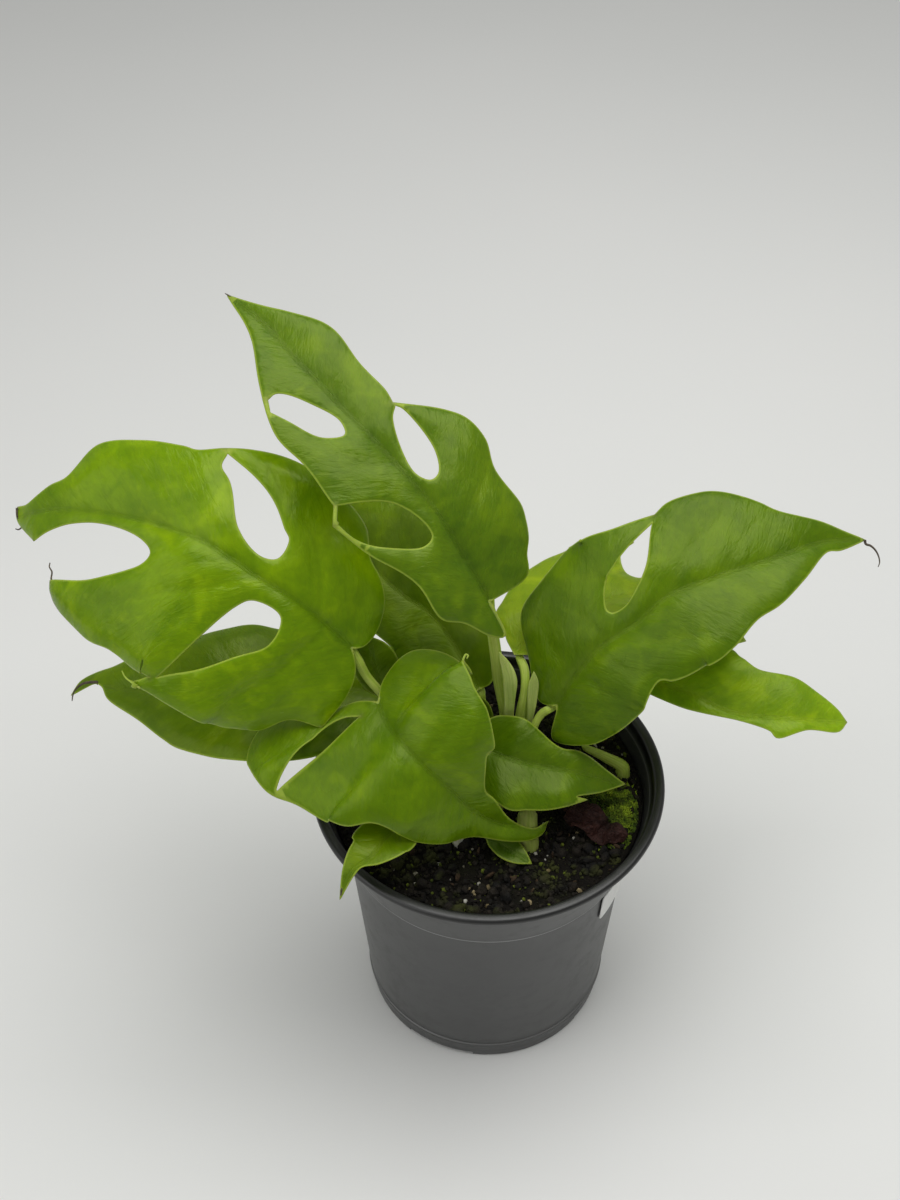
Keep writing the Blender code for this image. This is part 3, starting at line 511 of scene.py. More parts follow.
def litter_paint(name, light, deep):
    p = Paint(name, Specular_IOR_Level=0.15)
    broad, fine = p.noise(190, 4, 0.6), p.noise(1500, 3, 0.7)
    net = p.cells(700, "DISTANCE_TO_EDGE")
    colour = p.mix(p.span(broad, 0.32, 0.66), deep, light)
    colour = p.mix(p.span(net, 0.0, 0.12, 0.5, 0.0), colour, tuple(c * 0.5 for c in deep))
    colour = p.mix(p.span(fine, 0.6, 0.8, 0.0, 0.4), colour, (light[0] * 1.8, light[1] * 1.9, light[2] * 1.6))
    return p.finish(colour, p.span(fine, 0.3, 0.7, 0.5, 0.75), p.bump(net, 0.0004, 0.8, p.bump(broad, 0.003, 0.9)))


# ---------------------------------------------------------------- blades

def polyline(points, step):
    arc = np.concatenate([[0], np.cumsum(np.linalg.norm(np.diff(points, axis=0), axis=1))])
    s = np.linspace(0, arc[-1], max(2, int(arc[-1] / step)) + 1)
    return np.stack([np.interp(s, arc, points[:, k]) for k in range(points.shape[1])], 1)


def to_lines(points, lines, spread=None):
    """Distance from each (u, v) point to the nearest of several polylines, and the share of the way along it."""
    best, share = np.full(len(points), 1e3), np.zeros(len(points))
    for line in lines:
        a, b = line[:-1], line[1:]
        ab = b - a
        t = np.clip(((points[:, None] - a) * ab).sum(2) / np.maximum((ab * ab).sum(1), 1e-12), 0, 1)
        d = np.linalg.norm(points[:, None] - (a + t[..., None] * ab), axis=2)
        i = d.argmin(1)
        d = d[np.arange(len(points)), i]
        at = (i + t[np.arange(len(points)), i]) / len(a)
        share = np.where(d < best, at, share)
        best = np.minimum(best, d)
    return best, share


def lateral_lines(name, blade, loops, ring):
    """The side veins: drawn ones from VEINS, or an even set that leaves the midrib at about 55 degrees."""
    if name in VEINS:
        lines = [polyline(curve(table(text), 12), 1.2) for text in VEINS[name]]
    else:
        lines, count = [], max(3, int(blade.length / 13))
        for side in (-1, 1):
            for k in range(count):
                u0 = blade.length * (0.04 + 0.80 * (k + (0.25 if side > 0 else 0)) / count)
                s = np.arange(0, 60, 1.2)
                lines.append(np.stack([u0 + 0.62 * s + 0.006 * s * s, side * s], 1))
    kept = []
    for line in lines:
        ok = inside(line, ring)
        for hole in loops[1:]:
            ok &= ~inside(line, hole)
        ok &= np.minimum.reduce([nearest(line, loop)[1] for loop in loops]) > 2.0
        last = len(line) if ok[1:].all() else 1 + int(np.argmin(ok[1:]))
        if last > 4:
            kept.append(line[:last])
    return kept


def relaxed(surface, faces, flat, rounds=40):
    """Evens out the sheet away from its midrib, where neighbouring rulings crowd together."""
    pairs = np.unique(np.sort(np.vstack([faces[:, [0, 1]], faces[:, [1, 2]], faces[:, [2, 0]]]), axis=1), axis=0)
    count = np.bincount(pairs.ravel(), minlength=len(surface))[:, None]
    directed = np.vstack([faces[:, [0, 1]], faces[:, [1, 2]], faces[:, [2, 0]]])
    seen = set(map(tuple, directed.tolist()))
    free = np.ones(len(surface))
    for a, b in directed.tolist():
        if (b, a) not in seen:
            free[a] = free[b] = 0.0
    weight = (0.6 * free * np.clip((np.abs(flat[:, 1]) - 4) / 5, 0, 1))[:, None]
    surface = surface.copy()
    for _ in range(rounds):
        mean = np.zeros_like(surface)
        np.add.at(mean, pairs[:, 0], surface[pairs[:, 1]])
        np.add.at(mean, pairs[:, 1], surface[pairs[:, 0]])
        surface += weight * (mean / count - surface)
    return surface


def leaf_object(name, leaf, grid=1.5, thick=0.42, pillow=0.7, wave=0.8, seed=1.0, crumple=0.0):
    blade = Blade(leaf)
    small = blade.length < 30
    step = 0.5 if small else 0.8
    grid = 0.9 if small else grid
    ring = outline(leaf["margin"], step)
    holes = [keep_off(outline(text, step * 0.9), ring, THREAD) for text in leaf["holes"]]
    loops = [ring] + holes
    side_lines = [] if small else lateral_lines(name, blade, loops, ring)
    midrib = polyline(np.array([[0.0, 0.0], [blade.length * 0.97, 0.0]]), 1.2)
    rows = [midrib + [0, o] for o in (0, -0.8, 0.8)]
    for line in side_lines:
        rows.append(line)
    drawn = np.vstack(rows)
    low, high = ring.min(0), ring.max(0)
    inner = np.array([(u, v) for i, v in enumerate(np.arange(low[1], high[1], grid * 0.866))
                      for u in np.arange(low[0] + (i % 2) * grid / 2, high[0], grid)])
    far, _ = to_lines(inner, [midrib] + side_lines)
    inner = inner[far > grid * 0.6]
    inner = np.vstack([drawn, inner])
    _, first = np.unique(np.round(inner / 0.35).astype(int), axis=0, return_index=True)
    inner = inner[np.sort(first)]
    keep = inside(inner, ring) & (nearest(inner, ring)[1] > step * 0.7)
    for hole in holes:
        keep &= ~inside(inner, hole) & (nearest(inner, hole)[1] > step * 0.7)
    inner = inner[keep]
    points = np.vstack(loops + [inner])
    edges, start = [], 0
    for loop in loops:
        n = len(loop)
        edges += [(start + i, start + (i + 1) % n) for i in range(n)]
        start += n
    verts, _, faces, _, _, _ = delaunay_2d_cdt([Vector(p) for p in points], edges, [], 0, 1e-4)
    flat = np.array([[v.x, v.y] for v in verts])
    middle = np.array([flat[list(f)].mean(0) for f in faces])
    keep = inside(middle, ring)
    for hole in holes:
        keep &= ~inside(middle, hole)
    faces = np.array([f for f, k in zip(faces, keep) if k])
    used = np.unique(faces)
    renumber = np.full(len(flat), -1)
    renumber[used] = np.arange(len(used))
    flat, faces = flat[used], renumber[faces]
    n = len(flat)

    surface = blade.at(flat[:, 0], flat[:, 1])
    if name == "leaf_right":
        surface = relaxed(surface, faces, flat)
    lifted = blade.at(flat[:, 0], flat[:, 1], 1.0) - surface
    cross = np.cross(surface[faces[:, 1]] - surface[faces[:, 0]], surface[faces[:, 2]] - surface[faces[:, 0]])
    normal = np.zeros_like(surface)
    for k in range(3):
        np.add.at(normal, faces[:, k], cross)
    normal /= np.linalg.norm(normal, axis=1)[:, None]
    if (normal * lifted).sum() < 0:
        normal = -normal

    edge = np.minimum.reduce([nearest(flat, loop)[1] for loop in loops])
    d_mid = np.hypot(flat[:, 1], np.maximum(0, flat[:, 0] - blade.length * 0.97))
    along = np.clip(flat[:, 0] / blade.length, 0, 1)
    g_mid = np.exp(-(d_mid / (0.7 if small else 1.2)) ** 2) * (1 - 0.7 * along)
    if side_lines:
        d_side, share = to_lines(flat, side_lines)
        g_side = np.exp(-(d_side / 0.9) ** 2) * (1 - share) ** 0.8
    else:
        d_side, g_side, share = np.full(n, 30.0), np.zeros(n), 0.0
    d_vein = np.minimum(d_mid, d_side + 2.0 + 6.0 * share)
    tame = np.clip(edge / 4, 0, 1)
    puff = pillow * (1 - np.exp(-(d_vein / 5.0) ** 2)) * tame
    if small:
        puff = puff * 0.2
    lump = wobble(surface, 17, seed) * 0.75 + wobble(surface, 7, seed + 5) * 0.22
    margin_wave = wave * np.exp(-edge / 6.0) * wobble(surface, 11, seed + 9)
    common = puff + (lump + margin_wave) * (0.25 if small else 1.0)
    common = common * np.clip(np.hypot(flat[:, 0], flat[:, 1]) / 14, 0, 1)
    common = common + crumple * (wobble(surface, 3.2, seed) + 0.5 * wobble(surface, 1.6, seed))
    groove = (0.2 if small else 0.55) * g_mid + 0.16 * g_side
    ridge = (0.3 if small else 0.75) * g_mid + 0.22 * g_side
    corners = np.array([table(run)[0] for run in leaf["margin"].split("|")[1:]] or [[1e3, 1e3]])
    corners = np.vstack([corners] + [table(run)[:1] for text in leaf["holes"] for run in text.split("|")[:1] if "|" in text])
    dry = np.zeros(n) if small else np.exp(-(np.linalg.norm(flat[:, None] - corners, axis=2).min(1) / 1.0) ** 2) * 0.4
    for u0, v0, r0 in SPECKS.get(name, []):
        dry = np.maximum(dry, (np.hypot(flat[:, 0] - u0, flat[:, 1] - v0) < r0) * 1.0)
    half = thick / 2 * np.clip(0.75 + edge / 8, 0.75, 1.0)
    top = surface + normal * (common - groove + half)[:, None]
    bottom = surface + normal * (common - ridge * np.clip(edge / 2, 0, 1) - half)[:, None]

    # The rim: boundary edges of the faces, with a middle row pushed out so that the margin is round.
    directed = np.vstack([faces[:, [0, 1]], faces[:, [1, 2]], faces[:, [2, 0]]])
    seen = set(map(tuple, directed.tolist()))
    border = [(a, b) for a, b in directed.tolist() if (b, a) not in seen]
    out = np.zeros((n, 3))
    mid_surface = surface + normal * common[:, None]
    for a, b in border:
        side = np.cross(mid_surface[b] - mid_surface[a], normal[a])
        out[a] += side
        out[b] += side
    # The side vector points away from the blade if the triangle's third corner is behind it.
    a, b = border[0]
    third = next(f for f in faces if a in f and b in f)
    c = [i for i in third if i not in (a, b)][0]
    if np.dot(np.cross(mid_surface[b] - mid_surface[a], normal[a]), mid_surface[c] - mid_surface[a]) > 0:
        out = -out
    rim = sorted({i for pair in border for i in pair})
    where = {i: 2 * n + k for k, i in enumerate(rim)}
    length = np.linalg.norm(out[rim], axis=1)[:, None]
    middle_row = mid_surface[rim] + out[rim] / np.maximum(length, 1e-9) * thick * 0.42
    everything = [tuple(f) for f in faces] + [tuple(n + i for i in f[::-1]) for f in faces]
    for a, b in border:
        everything += [(b, a, where[a], where[b]), (where[b], where[a], n + a, n + b)]
    points = np.vstack([top, bottom, middle_row])
    # The vein mask, widened along the midrib: on the darker-veined blades it carries painted shade in the grooves.
    vein = np.clip(g_mid + 0.6 * g_side, 0, 1)
    wide = np.clip(np.exp(-(d_mid / 2.2) ** 2) * (1 - 0.6 * along) * 0.6, 0, 1)
    vein = np.maximum(vein, wide)
    flow = np.stack([flat[:, 0] - 0.75 * abs(flat[:, 1]), abs(flat[:, 1]), np.sign(flat[:, 1]) * 3 + 7 * seed], 1)
    pick = lambda x: np.concatenate([x, x, x[rim]])
    attributes = {
        "edge": np.concatenate([edge, edge, np.zeros(len(rim))]), "vein": pick(vein),
        "under": np.concatenate([np.zeros(n), np.ones(n), np.full(len(rim), 0.3)]),
        "flow": np.vstack([flow, flow, flow[rim]]), "along": pick(along), "dry": pick(dry)}
    label = "blade_" + name[5:] if name.startswith("leaf_") else name + "_skin"
    return mesh_object(label, points, everything, True, attributes), blade


def round_tube(path, radii, sides=14, groove=0.0, up=(0, -0.3, 1)):
    """Points, faces and (along, around) of a closed tube. groove presses a channel into its upper side."""
    path, radii = np.asarray(path, float), np.asarray(radii, float)
    arc = np.concatenate([[0], np.cumsum(np.linalg.norm(np.diff(path, axis=0), axis=1))])
    tangent = np.gradient(path, arc, axis=0)
    tangent /= np.linalg.norm(tangent, axis=1)[:, None]
    side = np.cross(tangent[0], np.array([1.0, 0.0, 0.0]) if abs(tangent[0][2]) > 0.8 else np.array(up, float))
    points, flow = [], []
    for i in range(len(path)):
        side = side - tangent[i] * np.dot(side, tangent[i])
        side /= np.linalg.norm(side)
        other = np.cross(tangent[i], side)
        for k in range(sides):
            a = 2 * math.pi * k / sides
            r = radii[i] * (1 - groove * math.exp(-((a - math.pi) / 0.5) ** 2))
            points.append(path[i] + (side * math.cos(a) + other * math.sin(a)) * r)
            flow.append((arc[i], math.cos(a) * 2, math.sin(a) * 2))
    faces = [(i * sides + k, i * sides + (k + 1) % sides, (i + 1) * sides + (k + 1) % sides, (i + 1) * sides + k)
             for i in range(len(path) - 1) for k in range(sides)]
    faces += [tuple(range(sides))[::-1], tuple((len(path) - 1) * sides + k for k in range(sides))]
    return points, faces, flow, np.repeat(arc / arc[-1], sides)


def under_blade(line, radii, blade, ring):
    """Moves the end of a stalk below the blade that it carries, wherever it would come through the upper side."""
    u, v = np.meshgrid(np.arange(-24, 26, 0.8), np.arange(-20, 20.5, 0.8))
    flat = np.column_stack([u.ravel(), v.ravel()])
    flat = flat[inside(flat, ring)]
    skin = blade.at(flat[:, 0], flat[:, 1])
    up = blade.at(flat[:, 0], flat[:, 1], 1.0) - skin
    line = line.copy()
    for i in range(len(line) // 2, len(line)):
        d = line[i] - skin
        height = (d * up).sum(1)
        aside = np.linalg.norm(d - height[:, None] * up, axis=1)
        j = int(np.argmin(aside + 0.3 * np.abs(height)))
        limit = -(radii[i] + 0.85)
        if aside[j] < 1.6 and limit < height[j] < 5:
            line[i] = line[i] + up[j] * (limit - height[j])
    return line


def stem_object(name, leaf, path, r, end_r):
    points = [[float(n) for n in item.split(",")] for item in path.split()]
    x, y = points[0]
    points = [[x, y, SOIL_Z - 4], [x, y, SOIL_Z + 1]] + points[1:]
    if leaf:
        blade = Blade(LEAVES[leaf])
        points.append(blade.at(0.6, 0.0, -(end_r * 0.9))[0].tolist())
        count = len(points)
        for u, share in ((4, 0.7), (8, 0.45), (11, 0.25)):
            points.append(blade.at(float(u), 0.0, -end_r * share - 1.0)[0].tolist())
    line = curve(np.array(points), 10)
    arc = np.concatenate([[0], np.cumsum(np.linalg.norm(np.diff(line, axis=0), axis=1))])
    joint = arc[10 * (count - 1)] if leaf else arc[-1]
    f = np.clip((arc - 5) / (joint - 5), 0, 1)
    radii = r + (end_r - r) * f
    if leaf:
        radii = radii * (1 + 0.16 * np.exp(-((arc - joint + 5) / 3.5) ** 2))      # the joint below the blade
        radii = np.where(arc > joint, end_r * np.clip(1 - (arc - joint) / max(arc[-1] - joint, 1e-6) * 0.78, 0.2, 1), radii)
    radii = radii * (1 + 0.35 * np.exp(-((arc - 4) / 3.0) ** 2) * (1 if leaf else 0.2))   # the clasping foot
    radii = radii * (1 + 0.035 * np.array([noise.noise(Vector((a / 5, x, y))) for a in arc]))
    if leaf:
        line = under_blade(line, radii, blade, outline(LEAVES[leaf]["margin"], 0.8))
    if not leaf:
        tip = arc[-1] - arc
        radii = radii * np.sqrt(np.clip(tip / max(end_r, 0.6), 0.05, 1))
    made, faces, flow, along = round_tube(line, radii, 16, 0.22 if leaf else 0.0)
    return mesh_object(name, made, faces, True, {"flow": flow, "along": along})


def thread_object(name, path, r0, r1):
    line = curve(np.array(path, float), 8)
    made, faces, flow, along = round_tube(line, np.linspace(r0, r1, len(line)), 8)
    return mesh_object(name, made, faces, True, {"flow": flow, "along": along})


# ---------------------------------------------------------------- pot, label

def cut(obj, name, points, faces):
    tool = mesh_object(name, points, faces, False)
    m = obj.modifiers.new(name, "BOOLEAN")
    m.operation, m.solver, m.object = "DIFFERENCE", "EXACT", tool
    return tool


def applied(obj):
    graph = bpy.context.evaluated_depsgraph_get()
    mesh = bpy.data.meshes.new_from_object(obj.evaluated_get(graph))
    obj.modifiers.clear()
    obj.data = mesh
    return obj


def arc_points(centre, r, first, last, n):
    return [(centre[0] + r * math.cos(math.radians(first + (last - first) * i / n)),
             centre[1] + r * math.sin(math.radians(first + (last - first) * i / n))) for i in range(n + 1)]


def pot_object():
    inner = lambda z: wall(z) - WALL
    ring = [(wall(BAND_Z) + 0.4 * math.cos(math.radians(a)), BAND_Z + 0.75 * math.sin(math.radians(a))) for a in range(-90, 91, 30)]
    lip = arc_points((51.3, 92.5), 1.2, -90, 90, 10)
    collar = [(wall(COLLAR_Z - 2.2), COLLAR_Z - 2.2), (wall(COLLAR_Z - 1.2) + 0.1, COLLAR_Z - 1.2), (COLLAR_R - 0.1, COLLAR_Z - 0.7),
              (COLLAR_R + 0.15, COLLAR_Z - 0.2), (COLLAR_R + 0.25, COLLAR_Z + 0.5), (COLLAR_R + 0.6, COLLAR_Z + 1.8)]
    profile = [(0, 0), (PLATE_R, 0), (PLATE_R + 0.5, 0.3), (PLATE_R + 1.4, PLATE_Z), (FOOT_R - 0.8, PLATE_Z), (FOOT_R - 0.1, 0.3),
               (FOOT_R + 0.2, 0), (BASE_R - 0.7, 0), (BASE_R - 0.2, 0.2), (BASE_R, 0.7), (wall(3) - 0.05, 3.0), (wall(BAND_Z - 0.9) - 0.05, BAND_Z - 0.9)]
    profile += ring + [(wall(BAND_Z + 1.0), BAND_Z + 1.0)]
    profile += [(wall(z), z) for z in (16, 28, 40, 52, 62)] + collar
    profile += [(47.0, 82.0), (48.6, 87.4), (49.8, 90.9), (50.1, 91.3)] + lip
    profile += [(50.3, RIM_Z), (49.8, RIM_Z - 0.1), (49.4, 93.3), (49.1, 92.6), (48.9, 91.8), (45.8, 82.0), (inner(COLLAR_Z) + 0.7, COLLAR_Z + 0.4),
                (inner(COLLAR_Z - 1), COLLAR_Z - 1.4), (inner(30), 30), (inner(FLOOR_Z), FLOOR_Z), (0, FLOOR_Z)]
    points, faces = [(0, 0, 0)], []
    rows = profile[1:-1]
    for r, z in rows:
        points += [(r * math.cos(2 * math.pi * k / STEPS), r * math.sin(2 * math.pi * k / STEPS), z) for k in range(STEPS)]
    points.append((0, 0, FLOOR_Z))
    at = lambda i, k: 1 + i * STEPS + k % STEPS
    faces += [(0, at(0, k + 1), at(0, k)) for k in range(STEPS)]
    faces += [(at(i, k), at(i, k + 1), at(i + 1, k + 1), at(i + 1, k)) for i in range(len(rows) - 1) for k in range(STEPS)]
    faces += [(at(len(rows) - 1, k), at(len(rows) - 1, k + 1), len(points) - 1) for k in range(STEPS)]
    pot = mesh_object("pot_shell", points, faces)
    tools = []
    for i in range(DRAINS):
        a = 2 * math.pi * (i + 0.5) / DRAINS
        c = (DRAIN_AT * math.cos(a), DRAIN_AT * math.sin(a))
        rim = [(c[0] + DRAIN_R * math.cos(2 * math.pi * k / 32), c[1] + DRAIN_R * math.sin(2 * math.pi * k / 32)) for k in range(32)]
        body = [(x, y, -1) for x, y in rim] + [(x, y, 6) for x, y in rim]
        tools.append(cut(pot, f"drain_tool_{i}", body, [tuple(range(32))[::-1], tuple(range(32, 64))] +
                         [(k, (k + 1) % 32, 32 + (k + 1) % 32, 32 + k) for k in range(32)]))
    for i in range(4):
        a = math.radians(NOTCH_AT + 90 * i)
        half = BASE_R * math.sin(math.radians(NOTCH_HALF))
        c, s = math.cos(a), math.sin(a)
        box = [(x * c - y * s, x * s + y * c, z) for z in (-1, NOTCH_H) for x, y in
               ((FOOT_R - 2, -half), (BASE_R + 4, -half), (BASE_R + 4, half), (FOOT_R - 2, half))]
        tools.append(cut(pot, f"notch_tool_{i}", box, [(3, 2, 1, 0), (4, 5, 6, 7), (0, 1, 5, 4), (1, 2, 6, 5), (2, 3, 7, 6), (3, 0, 4, 7)]))
    applied(pot)
    for tool in tools:
        bpy.data.objects.remove(tool, do_unlink=True)
    pot.data.polygons.foreach_set("use_smooth", [True] * len(pot.data.polygons))
    pot.data.set_sharp_from_angle(angle=math.radians(38))
    return pot


def label_object():
    """Blank paper with round corners, bent round the wall."""
    low, high, first, last = 57.8, 70.2, -39.0, 6.0
    n, m, corner = 60, 12, 1.6
    width = math.radians(last - first) * wall(64)
    points, faces = [], []
    for layer in (0.34, 0.64):
        for j in range(m + 1):
            for i in range(n + 1):
                u, v = width * i / n, (high - low) * j / m
                # Corners pulled in to a quarter circle.
                cu, cv = min(max(u, corner), width - corner), min(max(v, corner), high - low - corner)
                d = math.hypot(u - cu, v - cv)
                if d > corner:
                    u, v = cu + (u - cu) * corner / d, cv + (v - cv) * corner / d
                z = low + v
                r = wall(z) + layer + 0.06 * noise.noise(Vector((u / 6, v / 6, 3)))
                a = math.radians(first) + u / width * math.radians(last - first)
                points.append((r * math.cos(a), r * math.sin(a), z))
    w, size = n + 1, (n + 1) * (m + 1)
    for j in range(m):
        for i in range(n):
            q = (j * w + i, j * w + i + 1, (j + 1) * w + i + 1, (j + 1) * w + i)
            faces += [q[::-1], tuple(size + k for k in q)]
    loop = [i for i in range(w)] + [j * w + n for j in range(1, m + 1)] + [m * w + i for i in range(n - 1, -1, -1)] + [j * w for j in range(m - 1, 0, -1)]
    faces += [(a, b, size + b, size + a) for a, b in zip(loop, loop[1:] + loop[:1])]
    return mesh_object("label_paper", points, faces)


# ---------------------------------------------------------------- growing medium

def soil_height(x, y):
    p = Vector((x, y, 0))
    r = math.hypot(x, y)
    h = 0.9 * noise.noise(p / 16 + Vector((3, 1, 0))) + 0.7 * noise.noise(p / 6.5) + 0.45 * noise.noise(p / 2.8)
    h += 1.1 * (0.5 - noise.voronoi(p / 3.4)[0][0]) + 0.6 * (0.5 - noise.voronoi(p / 1.7 + Vector((5, 2, 0)))[0][0])
    h += 1.2 * math.exp(-((x - 2) ** 2 + (y - 3) ** 2) / 260)
    if r > 40:
        h -= 0.018 * (r - 40) ** 1.5
    return SOIL_Z + h


def peat_object():
    """A closed plug: a lumpy top on a hexagonal grid of rings, and smooth sides down to the floor of the pot."""
    points, faces, rings = [(0, 0, soil_height(0, 0))], [], []
    n, step = 240, 0.7
    radii = [step * (k + 1) for k in range(int(45.9 / step))] + [46.5]
    for k, r in enumerate(radii):
        start = len(points)
        for i in range(n):
            a = 2 * math.pi * (i + 0.5 * (k % 2)) / n
            x, y = r * math.cos(a), r * math.sin(a)
            points.append((x, y, soil_height(x, y)))
        rings.append((start, k % 2))
    for r, z in ((45.0, 82.0), (wall(71) - WALL - 0.5, 71.0), (wall(4.1) - WALL - 0.6, 4.1)):
        start = len(points)
        points += [(r * math.cos(2 * math.pi * i / n), r * math.sin(2 * math.pi * i / n), z) for i in range(n)]
        rings.append((start, 0))
    faces += [(0, 1 + i, 1 + (i + 1) % n) for i in range(n)]
    for (a, shift_a), (b, shift_b) in zip(rings, rings[1:]):
        for i in range(n):
            j = (i + 1) % n
            if shift_a == shift_b:
                faces += [(a + i, b + i, b + j), (a + i, b + j, a + j)]
            elif shift_b:
                faces += [(a + i, b + i, a + j), (a + j, b + i, b + j)]
            else:
                faces += [(a + i, b + i, b + j), (a + i, b + j, a + j)]
    points.append((0, 0, 4.1))
    faces += [(rings[-1][0] + (i + 1) % n, rings[-1][0] + i, len(points) - 1) for i in range(n)]
    return mesh_object("peat_plug", points, faces)


def ball(level):
    work = bmesh.new()
    bmesh.ops.create_icosphere(work, subdivisions=level, radius=1.0)
    points = np.array([v.co[:] for v in work.verts])
    faces = [tuple(v.index for v in f.verts) for f in work.faces]
    work.free()
    return points, faces


def scatter(name, spots, level, seed, lumpy=0.35, smooth=False):
    """Many small grains in one object. A spot is (x, y, z, (size x, y, z))."""
    rng = np.random.default_rng(seed)
    shape, faces = ball(level)
    points, out = [], []
    for x, y, z, size in spots:
        turn = np.array(Euler(rng.uniform(0, 6.28, 3)).to_matrix())
        own = shape * (1 + lumpy * (rng.random((len(shape), 1)) - 0.5)) * size
        start = len(points) * len(shape)
        points.append(own @ turn.T + (x, y, z))
        out += [tuple(start + i for i in f) for f in faces]
    return mesh_object(name, np.vstack(points), out, smooth, recalc=False)


def soil_spots(count, seed, low, high, flat=(0.5, 1.0), sink=0.25, accept=lambda x, y, r: True):
    rng = np.random.default_rng(seed)
    spots = []
    while len(spots) < count:
        a, r = rng.uniform(0, 2 * math.pi), 45.6 * math.sqrt(rng.random())
        x, y = r * math.cos(a), r * math.sin(a)
        if not accept(x, y, rng):
            continue
        s = low + (high - low) * rng.random() ** 2.2
        if r + s > 46.4:
            continue
        spots.append((x, y, soil_height(x, y) + s * sink, (s, s * rng.uniform(*flat), s * rng.uniform(*flat))))
    return spots


MOSS_RING = "29,3 35,3.6 39,1.6 43.6,-1 44,-8 41.6,-16 37,-19 33,-13 31,-7 28,-2"


def moss_objects():
    ring = outline(MOSS_RING, 1.0)
    low, high = ring.min(0), ring.max(0)
    grid = np.array([(x, y) for i, y in enumerate(np.arange(low[1], high[1], 0.7)) for x in np.arange(low[0] + (i % 2) * 0.4, high[0], 0.8)])
    grid = grid[inside(grid, ring) & (nearest(grid, ring)[1] > 0.5)]
    points2 = np.vstack([ring, grid])
    n_ring = len(ring)
    verts, _, faces, _, _, _ = delaunay_2d_cdt([Vector(p) for p in points2], [(i, (i + 1) % n_ring) for i in range(n_ring)], [], 0, 1e-4)
    flat = np.array([[v.x, v.y] for v in verts])
    middle = np.array([flat[list(f)].mean(0) for f in faces])
    faces = [f for f, k in zip(faces, inside(middle, ring)) if k]
    d = nearest(flat, ring)[1]

    def height(x, y, d):
        p = Vector((x, y, 0))
        dome = 1 - math.exp(-(d / 2.6) ** 2)
        clump = 0.55 - noise.voronoi(p / 3.6)[0][0]
        return SOIL_Z + 0.5 + dome * (2.3 + 0.7 * noise.noise(p / 6) + 2.0 * clump)

    top = [(x, y, height(x, y, e)) for (x, y), e in zip(flat, d)]
    bottom = [(x, y, SOIL_Z - 1.2) for x, y in flat]
    n = len(flat)
    directed = [(f[i], f[(i + 1) % 3]) for f in faces for i in range(3)]
    seen = set(directed)
    border = [(a, b) for a, b in directed if (b, a) not in seen]
    everything = [tuple(f) for f in faces] + [tuple(n + i for i in f[::-1]) for f in faces] + [(b, a, n + a, n + b) for a, b in border]
    # The cushion's low tip value paints it near-black green: painted shade under the tufts.
    cushion = mesh_object("moss_cushion", top + bottom, everything, True, {"tip": np.concatenate([np.full(n, 0.12), np.zeros(n)]), "tone": np.full(2 * n, 0.3)})

    rng = np.random.default_rng(11)
    points, out, tips, tones = [], [], [], []
    made = 0
    while made < 2000:
        x, y = rng.uniform(low[0] - 3, high[0]), rng.uniform(low[1] - 3, high[1] + 1)
        if math.hypot(x, y) > 45.5:
            continue
        p = np.array([[x, y]])
        within = bool(inside(p, ring)[0])
        e = float(nearest(p, ring)[1][0])
        if not within and rng.random() > math.exp(-e / 1.6):
            continue
        z = height(x, y, e) if within else soil_height(x, y)
        made += 1
        tone = float(np.clip(0.5 + 0.9 * noise.noise(Vector((x / 3, y / 3, 8))) + rng.uniform(-0.3, 0.3), 0, 1))
        tall = rng.uniform(0.7, 1.7) * (0.5 + 0.8 * tone)
        for k in range(5):
            a = rng.uniform(0, 2 * math.pi)
            lean = rng.uniform(0.15, 0.95)
            d3 = np.array([math.cos(a) * lean, math.sin(a) * lean, 1.0])
            d3 /= np.linalg.norm(d3)
            s = np.cross(d3, [0.3, 0.5, -0.8])
            s /= np.linalg.norm(s)
            t = np.cross(d3, s)
            base = np.array([x, y, z - 0.15])
            w, h = rng.uniform(0.18, 0.32), tall * rng.uniform(0.7, 1.2)
            start = len(points)
            points += [base + s * w, base - s * w * 0.5 + t * w * 0.8, base - s * w * 0.5 - t * w * 0.8,
                       base + d3 * h * 0.55 + s * w * 1.1, base + d3 * h * 0.55 - s * w * 0.55 + t * w * 0.9, base + d3 * h * 0.55 - s * w * 0.55 - t * w * 0.9,
                       base + d3 * h]
            # Tip values darken each tuft toward its foot: painted shade deep in the moss.
            tips += [0.05, 0.05, 0.05, 0.6, 0.6, 0.6, 1.0]
            tones += [tone] * 7
            for i in range(3):
                j = (i + 1) % 3
                out += [(start + i, start + j, start + 3 + j, start + 3 + i), (start + 3 + i, start + 3 + j, start + 6)]
            out.append((start + 2, start + 1, start))
    tufts = mesh_object("moss_tufts", points, out, True, {"tip": np.array(tips), "tone": np.array(tones)})
    return cushion, tufts


# ---------------------------------------------------------------- build

